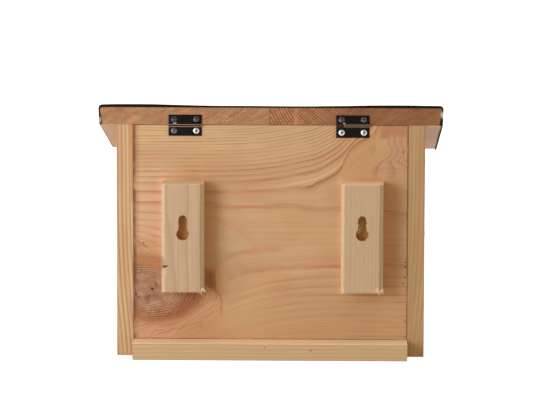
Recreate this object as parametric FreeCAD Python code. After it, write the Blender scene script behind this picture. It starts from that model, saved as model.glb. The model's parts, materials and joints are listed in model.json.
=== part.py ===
import FreeCAD, Part
import math
import os

# Squirrel feeder: a pine food box with a felted lid on two butt hinges, a clear front pane
# held in grooves, and two rear battens with keyhole slots that hang on wall screws.
# Millimetres. X runs across, the front faces -Y, the wall side faces +Y and Z is up.
# Left and right are as seen from the front.

V = FreeCAD.Vector

# Boards of the box
BOARD = 15.0                # planed thickness
EASE = 1.0                  # rounding on the long board edges
BOX_WIDTH = 273.0           # over the two side boards
SIDE_DEPTH = 150.0
REAR_PLANE = 95.0           # y of the back panel's outer face
REAR_HEIGHT = 207.0         # height of the box where the lid meets the rear plane
WALL_PLANE = 120.0          # y of the wall that the battens and the floor edge touch
PLATFORM_FRONT = -120.0     # y of the front edge of the floor, where the squirrel sits

# Lid
SLOPE = 12.5                # degrees that the lid falls to the front
LID_GAP = 0.15              # between the lid and the board ends under it
ROOF_WIDTH = 301.0          # lid board, across its top
ROOF_UNDERCUT = 2.4         # the side edges lean in by this much at the bottom
ROOF_LENGTH = 187.0         # along the slope
ROOF_ROUND = 2.0            # rounding of the top edges under the felt
FELT = 1.4                  # felt thickness
FELT_OVERHANG = 0.5         # felt standing past the lid's rear face
FLAP_LIFT = 0.4             # lower edge of the felt flaps above the lid's underside

# Front pane
PANE = 3.0
PANE_SETBACK = 12.0         # from the side boards' front edges to the groove's middle
GROOVE_DEPTH = 5.0
GROOVE_WIDTH = 3.4
PANE_END_GAP = 0.5          # between the pane's ends and the groove bottoms
PANE_TOP_GAP = 6.0          # under the closed lid
PANE_EASE = 0.4

# Wall battens, and their keyhole slots
BATTEN_X = {"left": -81.0, "right": 76.9}
BATTEN_WIDTH = 37.2
BATTEN_BOTTOM = 60.8
BATTEN_HEIGHT = 96.2
BATTEN_CHAMFER = 3.5
BATTEN_END_EASE = 0.5
KEYHOLE_Z = 112.4           # middle of the round hole
KEYHOLE_R = 5.5
KEYHOLE_RISE = 13.1         # from the round hole up to the middle of the slot's round end
SLOT_HALF = 3.6
LIP = 4.0                   # wood left over the wider channel
KEYHOLE_DEPTH = 10.0

# Hinges: rolled butt hinges, pin along X
HINGE_X = {"left": -72.4, "right": 75.7}
HINGE_WIDTH = 29.4
LEAF = 0.9                  # sheet thickness
LEAF_REACH = 9.5            # from the pin's axis to the leaf's free edge
LEAF_BACK = 1.9             # from the pin's axis to the wood under the leaf
LEAF_NECK = 0.7             # where the flat leaf runs into its knuckle
LEAF_NOTCH = 2.0            # the leaf stops this far from the other leaf's knuckle axis
AXIS_Z = 206.4
BARREL_R = 1.7
PIN_R = 0.8
PIN_CLEARANCE = 0.05        # round the pin in the lid leaf's knuckles
KNUCKLE_GAP = 0.25
LEAF_SCREW_OUT = 5.5        # from the pin's axis to the screw holes
LEAF_SCREW_X = 9.8          # from the hinge's middle to the screw holes

# Fasteners: head radius, shank radius, length, crown height, recess arm, recess width, recess depth
HINGE_SCREW = (3.1, 1.4, 12.0, 0.9, 1.9, 0.9, 1.3)
WOOD_SCREW = (3.8, 1.9, 35.0, 0.0, 2.3, 1.1, 1.7)
TACK_HEAD_R = 2.5
TACK_HEAD = 0.7
TACK_SHANK_R = 0.8
TACK_LENGTH = 12.0
SIDE_SCREW_Y = (-30.0, 20.0, 70.0)       # through the sides into the floor
BACK_SCREW_Z = (45.0, 110.0, 175.0)      # through the sides into the back panel
BATTEN_SCREW_Z = (74.0, 145.0)           # through the back panel into the battens
SIDE_TACK_U = (22.0, 70.0, 118.0, 166.0)           # along the slope from the rear edge
FRONT_TACK_X = (-130.0, -65.0, 0.0, 65.0, 130.0)

# Worked out from the sizes above
INNER_HALF = BOX_WIDTH / 2 - BOARD
SIDE_FRONT = REAR_PLANE - SIDE_DEPTH
BACK_INSIDE = REAR_PLANE - BOARD
SLOPE_RAD = math.radians(SLOPE)
AXIS_Y = REAR_PLANE + LEAF_BACK
# The lid stands forward a little, so that its leaning rear face passes the pin at LEAF_BACK.
LID_SETBACK = LEAF_BACK * (1 - math.cos(SLOPE_RAD)) + (REAR_HEIGHT - AXIS_Z) * math.sin(SLOPE_RAD)
ALONG_SLOPE = V(0, math.cos(SLOPE_RAD), math.sin(SLOPE_RAD))
LID_CORNER = V(0, REAR_PLANE, REAR_HEIGHT) - ALONG_SLOPE * LID_SETBACK
LID_PLACE = FreeCAD.Placement(LID_CORNER, FreeCAD.Rotation(V(1, 0, 0), SLOPE))
# Height of the pin's axis in the lid's own frame, where the underside is at 0
LID_AXIS_W = LID_PLACE.inverse().multVec(V(0, AXIS_Y, AXIS_Z)).z


def lid_underside(y):
    return REAR_HEIGHT - (REAR_PLANE - y) * math.tan(SLOPE_RAD)


def block(x0, x1, y0, y1, z0, z1):
    return Part.makeBox(x1 - x0, y1 - y0, z1 - z0, V(x0, y0, z0))


def rod(radius, x0, x1, y=0.0, z=0.0):
    return Part.makeCylinder(radius, x1 - x0, V(x0, y, z), V(1, 0, 0))


def prism_x(points, x0, x1):
    # Outline of (y, z) points carried along X
    wire = Part.makePolygon([V(x0, y, z) for y, z in points + points[:1]])
    return Part.Face(wire).extrude(V(x1 - x0, 0, 0))


def straight_edges(solid, direction):
    # Edges that run along the given direction
    found = []
    for edge in solid.Edges:
        run = (edge.lastVertex().Point - edge.firstVertex().Point).normalize()
        if abs(abs(run.dot(direction)) - 1) < 1e-6:
            found.append(edge)
    return found


def on_lid(shape):
    moved = shape.copy()
    moved.Placement = LID_PLACE.multiply(moved.Placement)
    return moved


def aimed(shape, origin, direction):
    # Stands a shape made along +Z at a point, pointing another way
    moved = shape.copy()
    moved.Placement = FreeCAD.Placement(origin, FreeCAD.Rotation(V(0, 0, 1), direction))
    return moved


def screw_blank(kind):
    # Head plane at z = 0 and point downwards, with no recess: also the hole that the screw makes
    head_r, shank_r, length, crown = kind[:4]
    neck = -(head_r - shank_r)
    corners = [V(0, 0, -length), V(shank_r, 0, -length + 2 * shank_r), V(shank_r, 0, neck), V(head_r, 0, 0)]
    edges = [Part.LineSegment(a, b).toShape() for a, b in zip(corners, corners[1:])]
    top = V(0, 0, crown)
    if crown > 0:
        ball = (head_r ** 2 + crown ** 2) / (2 * crown)
        half = math.asin(head_r / ball) / 2
        middle = V(ball * math.sin(half), 0, crown - ball + ball * math.cos(half))
        edges.append(Part.Arc(corners[-1], middle, top).toShape())
    else:
        edges.append(Part.LineSegment(corners[-1], top).toShape())
    edges.append(Part.LineSegment(top, corners[0]).toShape())
    return Part.Face(Part.Wire(edges)).revolve(V(), V(0, 0, 1), 360)


def screw(kind):
    crown, arm, width, depth = kind[3:]
    long_arm = block(-arm, arm, -width / 2, width / 2, crown - depth, crown + 1)
    cross_arm = block(-width / 2, width / 2, -arm, arm, crown - depth, crown + 1)
    return screw_blank(kind).cut(long_arm.fuse(cross_arm))


def tack():
    # Flat head at z = 0 to TACK_HEAD, shank downwards
    head = Part.makeCylinder(TACK_HEAD_R, TACK_HEAD)
    head = head.makeFillet(TACK_HEAD * 0.6, [e for e in head.Edges if e.BoundBox.ZMin > TACK_HEAD / 2])
    tip = 2 * TACK_SHANK_R
    shank = Part.makeCylinder(TACK_SHANK_R, TACK_LENGTH - tip, V(0, 0, tip - TACK_LENGTH))
    point = Part.makeCone(0, TACK_SHANK_R, tip, V(0, 0, -TACK_LENGTH))
    return head.fuse(shank).fuse(point).removeSplitter()


# Where every fastener goes: (point on the surface, direction out of the surface)
def side_screw_places(sign, points):
    return [(V(sign * BOX_WIDTH / 2, y, z), V(sign, 0, 0)) for y, z in points]


def floor_screw_places(sign):
    return side_screw_places(sign, [(y, BOARD / 2) for y in SIDE_SCREW_Y])


def back_screw_places(sign):
    return side_screw_places(sign, [(REAR_PLANE - BOARD / 2, z) for z in BACK_SCREW_Z])


def batten_screw_places(side):
    return [(V(BATTEN_X[side], BACK_INSIDE, z), V(0, -1, 0)) for z in BATTEN_SCREW_Z]


def hinge_screw_x(side):
    return [HINGE_X[side] - LEAF_SCREW_X, HINGE_X[side] + LEAF_SCREW_X]


def fixed_leaf_screw_places(side):
    return [(V(x, REAR_PLANE + LEAF, AXIS_Z - LEAF_SCREW_OUT), V(0, 1, 0)) for x in hinge_screw_x(side)]


def lid_leaf_screw_places(side):
    # In the lid's own frame
    return [(V(x, LEAF, LID_AXIS_W + LEAF_SCREW_OUT), V(0, 1, 0)) for x in hinge_screw_x(side)]


def tack_places():
    # In the lid's own frame
    half = ROOF_WIDTH / 2 + FELT
    middle = BOARD / 2
    sides = [(V(sign * half, -u, middle), V(sign, 0, 0)) for sign in (-1, 1) for u in SIDE_TACK_U]
    front = [(V(x, -ROOF_LENGTH - FELT, middle), V(0, -1, 0)) for x in FRONT_TACK_X]
    return sides + front


def stand(shape, places):
    return [aimed(shape, point, direction) for point, direction in places]


def drilled(solid, shape, places):
    # Takes away what the fasteners fill
    return solid.cut(stand(shape, places))


# Box boards
def side_board(sign):
    inner, outer = sign * INNER_HALF, sign * BOX_WIDTH / 2
    profile = [
        (SIDE_FRONT, 0.0),
        (REAR_PLANE, 0.0),
        (REAR_PLANE, lid_underside(REAR_PLANE) - LID_GAP),
        (SIDE_FRONT, lid_underside(SIDE_FRONT) - LID_GAP),
    ]
    solid = prism_x(profile, min(inner, outer), max(inner, outer))
    solid = solid.makeFillet(EASE, straight_edges(solid, V(0, 0, 1)))
    groove_y = SIDE_FRONT + PANE_SETBACK
    groove_end = inner + sign * GROOVE_DEPTH
    solid = solid.cut(block(
        min(inner - sign, groove_end), max(inner - sign, groove_end),
        groove_y - GROOVE_WIDTH / 2, groove_y + GROOVE_WIDTH / 2,
        BOARD, REAR_HEIGHT))
    solid = drilled(solid, screw_blank(WOOD_SCREW), floor_screw_places(sign))
    return drilled(solid, screw_blank(WOOD_SCREW), back_screw_places(sign))


def back_panel():
    profile = [
        (BACK_INSIDE, BOARD),
        (REAR_PLANE, BOARD),
        (REAR_PLANE, lid_underside(REAR_PLANE) - LID_GAP),
        (BACK_INSIDE, lid_underside(BACK_INSIDE) - LID_GAP),
    ]
    solid = prism_x(profile, -INNER_HALF, INNER_HALF)
    top_edges = [e for e in straight_edges(solid, V(1, 0, 0)) if e.BoundBox.ZMin > REAR_HEIGHT / 2]
    solid = solid.makeFillet(EASE, top_edges)
    for sign in (-1, 1):
        solid = drilled(solid, screw_blank(WOOD_SCREW), back_screw_places(sign))
    for side in BATTEN_X:
        solid = drilled(solid, screw_blank(WOOD_SCREW), batten_screw_places(side))
        solid = drilled(solid, screw_blank(HINGE_SCREW), fixed_leaf_screw_places(side))
    return solid


def floor_board():
    solid = block(-INNER_HALF, INNER_HALF, PLATFORM_FRONT, WALL_PLANE, 0.0, BOARD)
    solid = solid.makeFillet(EASE, straight_edges(solid, V(1, 0, 0)))
    for sign in (-1, 1):
        solid = drilled(solid, screw_blank(WOOD_SCREW), floor_screw_places(sign))
    return solid


def front_pane():
    half = INNER_HALF + GROOVE_DEPTH - PANE_END_GAP
    front = SIDE_FRONT + PANE_SETBACK - PANE / 2
    top = lid_underside(front) - PANE_TOP_GAP
    solid = block(-half, half, front, front + PANE, BOARD, top)
    return solid.makeChamfer(PANE_EASE, straight_edges(solid, V(1, 0, 0)))


# Lid, in its own frame: underside at z = 0, rear face at y = 0, front at y = -ROOF_LENGTH
def top_edges_of(solid, top):
    at_top = [e for e in solid.Edges if abs(e.BoundBox.ZMin - top) < 1e-6]
    return [e for e in at_top if e.BoundBox.YMin < -ROOF_LENGTH / 2]


def roof_board():
    low, high = ROOF_WIDTH / 2 - ROOF_UNDERCUT, ROOF_WIDTH / 2
    outline = [V(-low, 0, 0), V(low, 0, 0), V(high, 0, BOARD), V(-high, 0, BOARD), V(-low, 0, 0)]
    solid = Part.Face(Part.makePolygon(outline)).extrude(V(0, -ROOF_LENGTH, 0))
    solid = solid.makeFillet(ROOF_ROUND, top_edges_of(solid, BOARD))
    solid = drilled(solid, tack(), tack_places())
    for side in HINGE_X:
        solid = drilled(solid, screw_blank(HINGE_SCREW), lid_leaf_screw_places(side))
    return on_lid(solid)


def roof_felt():
    half = ROOF_WIDTH / 2
    top = BOARD + FELT
    skin = block(-half - FELT, half + FELT, -ROOF_LENGTH - FELT, FELT_OVERHANG, FLAP_LIFT, top)
    skin = skin.makeFillet(ROOF_ROUND + FELT, top_edges_of(skin, top))
    hollow = block(-half, half, -ROOF_LENGTH, BOARD, -BOARD, BOARD)
    hollow = hollow.makeFillet(ROOF_ROUND, top_edges_of(hollow, BOARD))
    return on_lid(drilled(skin.cut(hollow), tack(), tack_places()))


# Wall battens
def keyhole_room(x, y0, y1, round_r, slot_r):
    def hole(radius, z):
        return Part.makeCylinder(radius, y1 - y0, V(x, y0, z), V(0, 1, 0))

    slot_end = KEYHOLE_Z + KEYHOLE_RISE
    channel = block(x - slot_r, x + slot_r, y0, y1, KEYHOLE_Z, slot_end)
    return hole(round_r, KEYHOLE_Z).fuse([channel, hole(slot_r, slot_end)]).removeSplitter()


def batten(side):
    x = BATTEN_X[side]
    half = BATTEN_WIDTH / 2
    top = BATTEN_BOTTOM + BATTEN_HEIGHT
    solid = block(x - half, x + half, REAR_PLANE, WALL_PLANE, BATTEN_BOTTOM, top)
    long_edges = [e for e in straight_edges(solid, V(0, 0, 1)) if e.BoundBox.YMin > WALL_PLANE - 1]
    solid = solid.makeChamfer(BATTEN_CHAMFER, long_edges)
    ends = [e for e in straight_edges(solid, V(1, 0, 0)) if e.BoundBox.YMin > WALL_PLANE - 1]
    solid = solid.makeFillet(BATTEN_END_EASE, ends)
    under_lip = WALL_PLANE - LIP
    solid = solid.cut(keyhole_room(x, under_lip, WALL_PLANE + 1, KEYHOLE_R, SLOT_HALF))
    solid = solid.cut(keyhole_room(x, WALL_PLANE - KEYHOLE_DEPTH, under_lip, KEYHOLE_R, KEYHOLE_R))
    return drilled(solid, screw_blank(WOOD_SCREW), batten_screw_places(side))


# Hinges, about the pin's axis: the leaf stands up along +Z, with the wood on its -Y side
def knuckle_spans(of_lid):
    half, quarter = HINGE_WIDTH / 2, HINGE_WIDTH / 4
    gap = KNUCKLE_GAP / 2
    if of_lid:
        return [(-half, -quarter - gap), (quarter + gap, half)]
    return [(-quarter + gap, quarter - gap)]


def hinge_leaf(of_lid):
    half = HINGE_WIDTH / 2
    back, face = -LEAF_BACK, LEAF - LEAF_BACK
    solid = block(-half, half, back, face, LEAF_NOTCH, LEAF_REACH)
    bores = []
    for x0, x1 in knuckle_spans(of_lid):
        solid = solid.fuse([block(x0, x1, back, face, LEAF_NECK, LEAF_NOTCH), rod(BARREL_R, x0, x1)])
        bores.append(rod(PIN_R + (PIN_CLEARANCE if of_lid else 0.0), x0 - 1, x1 + 1))
    return solid.cut(bores).removeSplitter()


def hinge_lid_leaf(side):
    solid = hinge_leaf(True)
    solid.translate(V(HINGE_X[side], LEAF_BACK, LID_AXIS_W))
    return on_lid(drilled(solid, screw_blank(HINGE_SCREW), lid_leaf_screw_places(side)))


def hinge_fixed_leaf(side):
    solid = hinge_leaf(False).mirror(V(), V(0, 0, 1))
    solid.translate(V(HINGE_X[side], AXIS_Y, AXIS_Z))
    return drilled(solid, screw_blank(HINGE_SCREW), fixed_leaf_screw_places(side))


def hinge_pin(side):
    half = HINGE_WIDTH / 2
    solid = rod(PIN_R, HINGE_X[side] - half, HINGE_X[side] + half, AXIS_Y, AXIS_Z)
    ends = [e for e in solid.Edges if e.BoundBox.XLength < 0.1]
    return solid.makeFillet(PIN_R / 2, ends)


def group(solids):
    return Part.makeCompound(solids)


def all_nodes():
    nodes = {
        "back_panel": back_panel(),
        "floor_board": floor_board(),
        "front_pane": front_pane(),
        "roof_board": roof_board(),
        "roof_felt": roof_felt(),
        "felt_tacks": on_lid(group(stand(tack(), tack_places()))),
    }
    for side, sign in (("left", -1), ("right", 1)):
        nodes[side + "_side"] = side_board(sign)
        nodes[side + "_batten"] = batten(side)
        nodes[side + "_hinge_fixed_leaf"] = hinge_fixed_leaf(side)
        nodes[side + "_hinge_lid_leaf"] = hinge_lid_leaf(side)
        nodes[side + "_hinge_pin"] = hinge_pin(side)
        hinge_screw, wood_screw = screw(HINGE_SCREW), screw(WOOD_SCREW)
        nodes[side + "_hinge_fixed_screws"] = group(stand(hinge_screw, fixed_leaf_screw_places(side)))
        nodes[side + "_hinge_lid_screws"] = on_lid(group(stand(hinge_screw, lid_leaf_screw_places(side))))
        nodes[side + "_batten_screws"] = group(stand(wood_screw, batten_screw_places(side)))
        nodes[side + "_back_screws"] = group(stand(wood_screw, back_screw_places(sign)))
        nodes[side + "_floor_screws"] = group(stand(wood_screw, floor_screw_places(sign)))
    return nodes


os.makedirs("parts", exist_ok=True)
for name, shape in all_nodes().items():
    box = shape.BoundBox
    low = [round(v, 2) for v in (box.XMin, box.YMin, box.ZMin)]
    high = [round(v, 2) for v in (box.XMax, box.YMax, box.ZMax)]
    print(name, "solids", len(shape.Solids), "valid", shape.isValid(), low, high)
    shape.exportStep(os.path.join("parts", name + ".step"))
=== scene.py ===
import json
import math
from functools import reduce

import bmesh
import bpy
from mathutils import Matrix, Vector, noise


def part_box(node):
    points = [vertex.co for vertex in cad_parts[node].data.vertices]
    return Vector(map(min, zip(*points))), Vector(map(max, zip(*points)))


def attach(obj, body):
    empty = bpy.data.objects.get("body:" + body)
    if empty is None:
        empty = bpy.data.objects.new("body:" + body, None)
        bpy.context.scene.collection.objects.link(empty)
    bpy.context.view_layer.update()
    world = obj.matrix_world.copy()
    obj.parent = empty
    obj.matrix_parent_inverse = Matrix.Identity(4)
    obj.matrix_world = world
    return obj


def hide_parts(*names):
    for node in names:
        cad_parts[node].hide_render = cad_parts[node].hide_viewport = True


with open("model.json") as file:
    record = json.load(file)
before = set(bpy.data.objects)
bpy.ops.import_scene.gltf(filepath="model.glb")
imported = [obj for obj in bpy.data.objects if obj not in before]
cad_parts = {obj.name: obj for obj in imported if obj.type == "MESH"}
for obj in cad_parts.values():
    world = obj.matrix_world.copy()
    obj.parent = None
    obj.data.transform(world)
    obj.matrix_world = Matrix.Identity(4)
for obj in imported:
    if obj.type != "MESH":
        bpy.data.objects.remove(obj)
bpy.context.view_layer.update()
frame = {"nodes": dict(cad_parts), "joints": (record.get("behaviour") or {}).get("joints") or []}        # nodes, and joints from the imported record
nodes = frame["nodes"]
print("frame loaded:", len(nodes), "nodes")

mm = 0.001


class Wire:  # one socket of a node tree, so that node maths reads as arithmetic
    def __init__(self, tree, socket=None):
        self.tree = tree
        self.socket = socket

    def node(self, kind, settings=None, sockets=None, out=0):
        made = self.tree.nodes.new(kind)
        for name, value in (settings or {}).items():
            setattr(made, name, value)
        for key, value in (sockets or {}).items():
            for one in value if isinstance(value, list) else [value]:
                if isinstance(one, Wire):
                    self.tree.links.new(one.socket, made.inputs[key])
                else:
                    made.inputs[key].default_value = one
        return Wire(self.tree, made.outputs[out] if made.outputs else None)

    def other(self, out):
        return Wire(self.tree, self.socket.node.outputs[out])

    def math(self, operation, second=0.0):
        return self.node("ShaderNodeMath", {"operation": operation}, {0: self, 1: second})

    def __add__(self, second):
        return self.math("ADD", second)

    def __radd__(self, first):
        return self.math("ADD", first)

    def __sub__(self, second):
        return self.math("SUBTRACT", second)

    def __rsub__(self, first):
        return self.node("ShaderNodeMath", {"operation": "SUBTRACT"}, {0: first, 1: self})

    def __mul__(self, second):
        return self.math("MULTIPLY", second)

    def __rmul__(self, first):
        return self.math("MULTIPLY", first)

    def __truediv__(self, second):
        return self.math("DIVIDE", second)

    def __rtruediv__(self, first):
        return self.node("ShaderNodeMath", {"operation": "DIVIDE"}, {0: first, 1: self})

    def __pow__(self, second):
        return self.math("POWER", second)

    def __neg__(self):
        return self.math("MULTIPLY", -1.0)

    def __gt__(self, second):
        return self.math("GREATER_THAN", second)

    def __lt__(self, second):
        return self.math("LESS_THAN", second)

    def over(self, low):
        return self.math("MAXIMUM", low)

    def under(self, high):
        return self.math("MINIMUM", high)

    def size(self):
        return self.math("ABSOLUTE")

    def root(self):
        return self.math("SQRT")

    def smooth(self, low, high):  # 0 at low, 1 at high, also with high below low
        return self.node("ShaderNodeMapRange", {"interpolation_type": "SMOOTHSTEP"},
                         {"Value": self, "From Min": low, "From Max": high})

    def ramp(self, low, high):
        return self.node("ShaderNodeMapRange", None, {"Value": self, "From Min": low, "From Max": high})

    def curve(self, points):  # smooth run through (place, value) points, level beyond the ends
        places, values = zip(*points)
        bottom, rise = min(values), max(values) - min(values)
        run = self.node("ShaderNodeFloatCurve", None, {"Value": self.ramp(places[0], places[-1])})
        mapping = run.socket.node.mapping
        bends = mapping.curves[0].points
        while len(bends) < len(points):
            bends.new(0.5, 0.5)
        for bend, (place, value) in zip(bends, points):
            bend.location = ((place - places[0]) / (places[-1] - places[0]), (value - bottom) / rise)
            bend.handle_type = "AUTO_CLAMPED"
        mapping.update()
        return run * rise + bottom

    def pick(self, first, second):  # this value is the share of the second colour
        return self.node("ShaderNodeMix", {"data_type": "RGBA"}, {0: self, 6: first, 7: second}, 2)

    def scaled(self, factor):
        return self.node("ShaderNodeVectorMath", {"operation": "SCALE"}, {0: self, "Scale": factor})

    def noise(self, scale=1.0, detail=2.0, rough=0.5):
        return self.node("ShaderNodeTexNoise", None,
                         {"Vector": self, "Scale": scale, "Detail": detail, "Roughness": rough})


def joined(x, y, z=0.0):
    wire = next(value for value in (x, y, z) if isinstance(value, Wire))
    return wire.node("ShaderNodeCombineXYZ", None, {0: x, 1: y, 2: z})


def split(vector):
    first = vector.node("ShaderNodeSeparateXYZ", None, {0: vector})
    return first, first.other(1), first.other(2)


# noise, stretched along two ways
def blur(first, firstScale, second, secondScale, third=0.0, detail=2.0, rough=0.5):
    return joined(first * firstScale, second * secondScale, third).noise(1.0, detail, rough)


# the same about zero
def stray(first, firstScale, second, secondScale, size=1.0, third=0.0, detail=2.0, rough=0.5):
    return (blur(first, firstScale, second, secondScale, third, detail, rough) - 0.5) * size


def spot(u, z, atU, atZ, wide, tall, share=1.0):
    across = (u - atU) / wide
    up = (z - atZ) / tall
    return (across * across + up * up).smooth(1.0, 0.25) * share


def spots(u, z, rows):  # the strongest of several spots at each place
    return reduce(Wire.over, [spot(u, z, *row) for row in rows])


def within(u, z, runs):  # what comes in over every run, each given by its way, start and end
    return reduce(Wire.__mul__, [(u if way == "u" else z).smooth(low, high) for way, low, high in runs])


def tint(red, green, blue):  # screen colour, 0 to 255, as a linear colour
    def linear(value):
        part = value / 255
        return part / 12.92 if part <= 0.04045 else ((part + 0.055) / 1.055) ** 2.4
    return (linear(red), linear(green), linear(blue), 1.0)


def tints(**colours):
    return {name: tint(*colour) for name, colour in colours.items()}


def newMaterial(name):
    made = bpy.data.materials.new(name)
    made.use_nodes = True
    made.node_tree.nodes.clear()
    return made, Wire(made.node_tree)


def closeMaterial(made, values):
    wire = Wire(made.node_tree)
    shader = wire.node("ShaderNodeBsdfPrincipled", None, values)
    wire.node("ShaderNodeOutputMaterial", None, {"Surface": shader})
    return made


def bumped(height, strength, distance):
    return height.node("ShaderNodeBump", None,
                       {"Strength": strength, "Distance": distance * mm, "Height": height})


def objectSpace(wire):  # millimetres along X, Y and Z
    return split(wire.node("ShaderNodeTexCoord", out="Object").scaled(1 / mm))


lidSlope = math.radians(12.5)
lidRest = Vector((0.0, 94.83, 206.96)) * mm     # lower rear edge of the closed lid
lidPlace = Matrix.Translation(lidRest) @ Matrix.Rotation(lidSlope, 4, "X")


def lidSpace(wire):  # millimetres across, back along the slope and up from the underside
    x, y, z = objectSpace(wire)
    back = y - lidRest.y / mm
    up = z - lidRest.z / mm
    level, steep = math.cos(lidSlope), math.sin(lidSlope)
    return x, back * level + up * steep, up * level - back * steep


# what all the planed wood has in common
plainWood = {"fibreAlong": 0.02, "fibreAcross": 0.9, "fibreShade": 0.14, "relief": 0.2, "rough": 0.62,
             "fibreRough": 0.25, "lineRough": 0.08, "fibreHeight": 0.6, "lineDepth": 0.5, "bump": 0.35,
             "shine": 0.3}


def yearLines(ring, look):  # slow darkening through a year's growth, quick return to pale wood
    year = ring.math("FLOOR")
    part = ring - year
    chance = year.node("ShaderNodeTexWhiteNoise", {"noise_dimensions": "1D"}, {"W": year})
    sharp, back = look["lateSharp"], look["returnAt"]
    line = part ** sharp * part.smooth(1.0, back) / back ** sharp
    return line.under(1.0) * (1 - look["yearSpread"] * chance)


def fibres(along, across, deep, look):
    thin = look["fibreAcross"]
    return blur(along, look["fibreAlong"], across, thin, deep * thin, 3.0, 0.6)


def closeWood(made, colour, fibre, line, look):
    shaded = colour.scaled(1 + (fibre - 0.5) * look["fibreShade"])
    height = fibre * look["fibreHeight"] - line * look["lineDepth"]
    rough = look["rough"] + (fibre - 0.5) * look["fibreRough"] - line * look["lineRough"]
    return closeMaterial(made, {"Base Color": shaded, "Roughness": rough, "Specular IOR Level": look["shine"],
                                "Normal": bumped(height, look["bump"], look["relief"])})


# back panel: u runs across it as seen from behind, in millimetres
panelLook = {
    **plainWood,
    **tints(pale=(204, 161, 116), rosy=(201, 153, 109), top=(209, 171, 123), topMiddle=(202, 164, 120),
            amber=(199, 151, 105), low=(194, 149, 104), lowest=(203, 157, 112), light=(217, 170, 129),
            red=(178, 118, 80), swirl=(193, 146, 111), late=(168, 114, 72), lateRed=(188, 121, 83),
            bright=(226, 187, 142), fingerPale=(199, 161, 120), fingerRim=(204, 145, 100), pit=(92, 44, 16),
            seam=(112, 58, 18), shade=(184, 136, 90)),
    "lateSharp": 3.0, "returnAt": 0.9, "yearSpread": 0.45, "fibreShade": 0.16, "relief": 0.22,
    "half": 121.5, "foot": 15.0,            # its visible edges, beside the sides and over the floor
    # broad patches of the ground: tint, share and the runs that each comes in over
    "patches": (("top", 1.0, (("z", 176, 200), ("u", 70, 40))),
                ("topMiddle", 1.0, (("z", 176, 200), ("u", -70, -20), ("u", 70, 40))),
                ("amber", 1.0, (("u", 45, 80), ("z", 136, 150))),
                ("low", 1.0, (("z", 80, 30), ("u", -10, 90))),
                ("lowest", 0.8, (("z", 52, 30), ("u", -60, 0))),
                ("light", 1.0, (("u", -70, -100), ("z", 180, 160)))),
    # heights of the three guide lines above the middle
    "lineC": ((-122, 137.7), (-98, 137.6), (-58, 136.2), (-43, 134.2), (-21, 133.1), (4, 134.5), (13, 134.9),
              (30, 133.2), (48, 132.1), (62, 132.4), (90, 131.0), (100, 130.1), (110, 128.0), (122, 126.8)),
    "lineB": ((-122, 146.6), (-58, 146.6), (-14, 147.2), (4, 148.8), (21, 150.8), (36, 152.3), (40, 154.8),
              (48, 158.2), (60, 166.0), (65, 175.0), (71, 185.5), (81, 193.0), (87, 196.0), (93, 202.5),
              (97, 213.0)),
    "lineA": ((-122, 154.2), (-58, 154.6), (-14, 156.4), (4, 158.6), (21, 161.7), (39, 165.8), (48, 169.8),
              (57, 175.3), (66, 183.2), (71, 189.0), (76, 194.0), (85, 201.5), (90, 208.0), (95, 224.0)),
    "spacing": 5.8, "closing": 0.0165, "lift": 1.7,
    # years below the middle by height at the right-hand edge, and how far they sag to the left
    "lowYears": ((0, 15), (17.5, 11), (22, 10), (26.9, 9), (30, 8), (36.5, 7), (43, 6), (49, 5), (55.5, 4),
                 (63.1, 3), (71, 2), (80.6, 1), (94, 0)),
    "lowSharp": 2.2, "lowReturn": 0.8, "sagFrom": 80.0, "sag": 0.000011,
    # faint years beside the knot: where the first lies and how far apart they are
    "besideFrom": 141, "besideSpacing": 7.3,
    "arch": ((-40, 88.5), (-35, 90.2), (-24, 93.2), (-12, 95.0), (0, 96.3), (14, 95.6)),
    "archEnds": (("u", -42, -34), ("u", 16, 2)),
    "finger": ((70, -62), (75, -52), (88, -39), (93, -27), (98.5, -14), (106.9, -22.4), (115.4, -35),
               (123.7, -56), (128, -70)),
    "fingerEnds": (("u", -62, -48), ("z", 72, 78), ("z", 127, 121)),
    "thread": ((34, -44.7), (40, -43.7), (47.4, -43.4), (59.3, -46.9)),
    "threadEnds": (("z", 33, 40), ("z", 60, 56)),
    "swirlEdge": ((158, 95.5), (163.6, 95.7), (168.9, 96.6), (174.3, 99.3), (179.6, 106.5), (185, 108.2),
                  (190.3, 105.4), (195.7, 105.5), (204, 107.0)),
    "swirlEnds": (("z", 157, 166), ("z", 204, 194)),
    # dark pits beside the right-hand side board and elsewhere: u, z, half width, half height
    "pits": ((119.5, 84.8, 0.8, 0.6), (119.5, 80.9, 0.9, 1.1), (119.4, 71.3, 0.8, 0.7),
             (117.8, 66.0, 1.6, 0.5), (119.3, 32.5, 0.7, 0.7), (119.4, 17.9, 0.7, 0.6),
             (116.8, 183.2, 0.9, 0.9), (-112.6, 101.5, 0.8, 0.8)),
    # the dimmed spot and runs are painted shade, right of the bark and beside the right-hand side board
    "shadeSpot": (90.2, 185.0, 4.0, 6.0, 0.5), "paintedDimSpot": (-40.0, 72.0, 24.0, 26.0, 0.1),
    "paintedDimStrip": (("u", 100, 114), ("z", 60, 78), ("z", 164, 142)),
    # how far painted shade takes red, green and blue down on a batten's shadowed side, and painted light
    # brings them up on its lit side
    "besideBattens": ((0.04, 0.12), (0.15, 0.06), (0.28, 0.02)),
}
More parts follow.
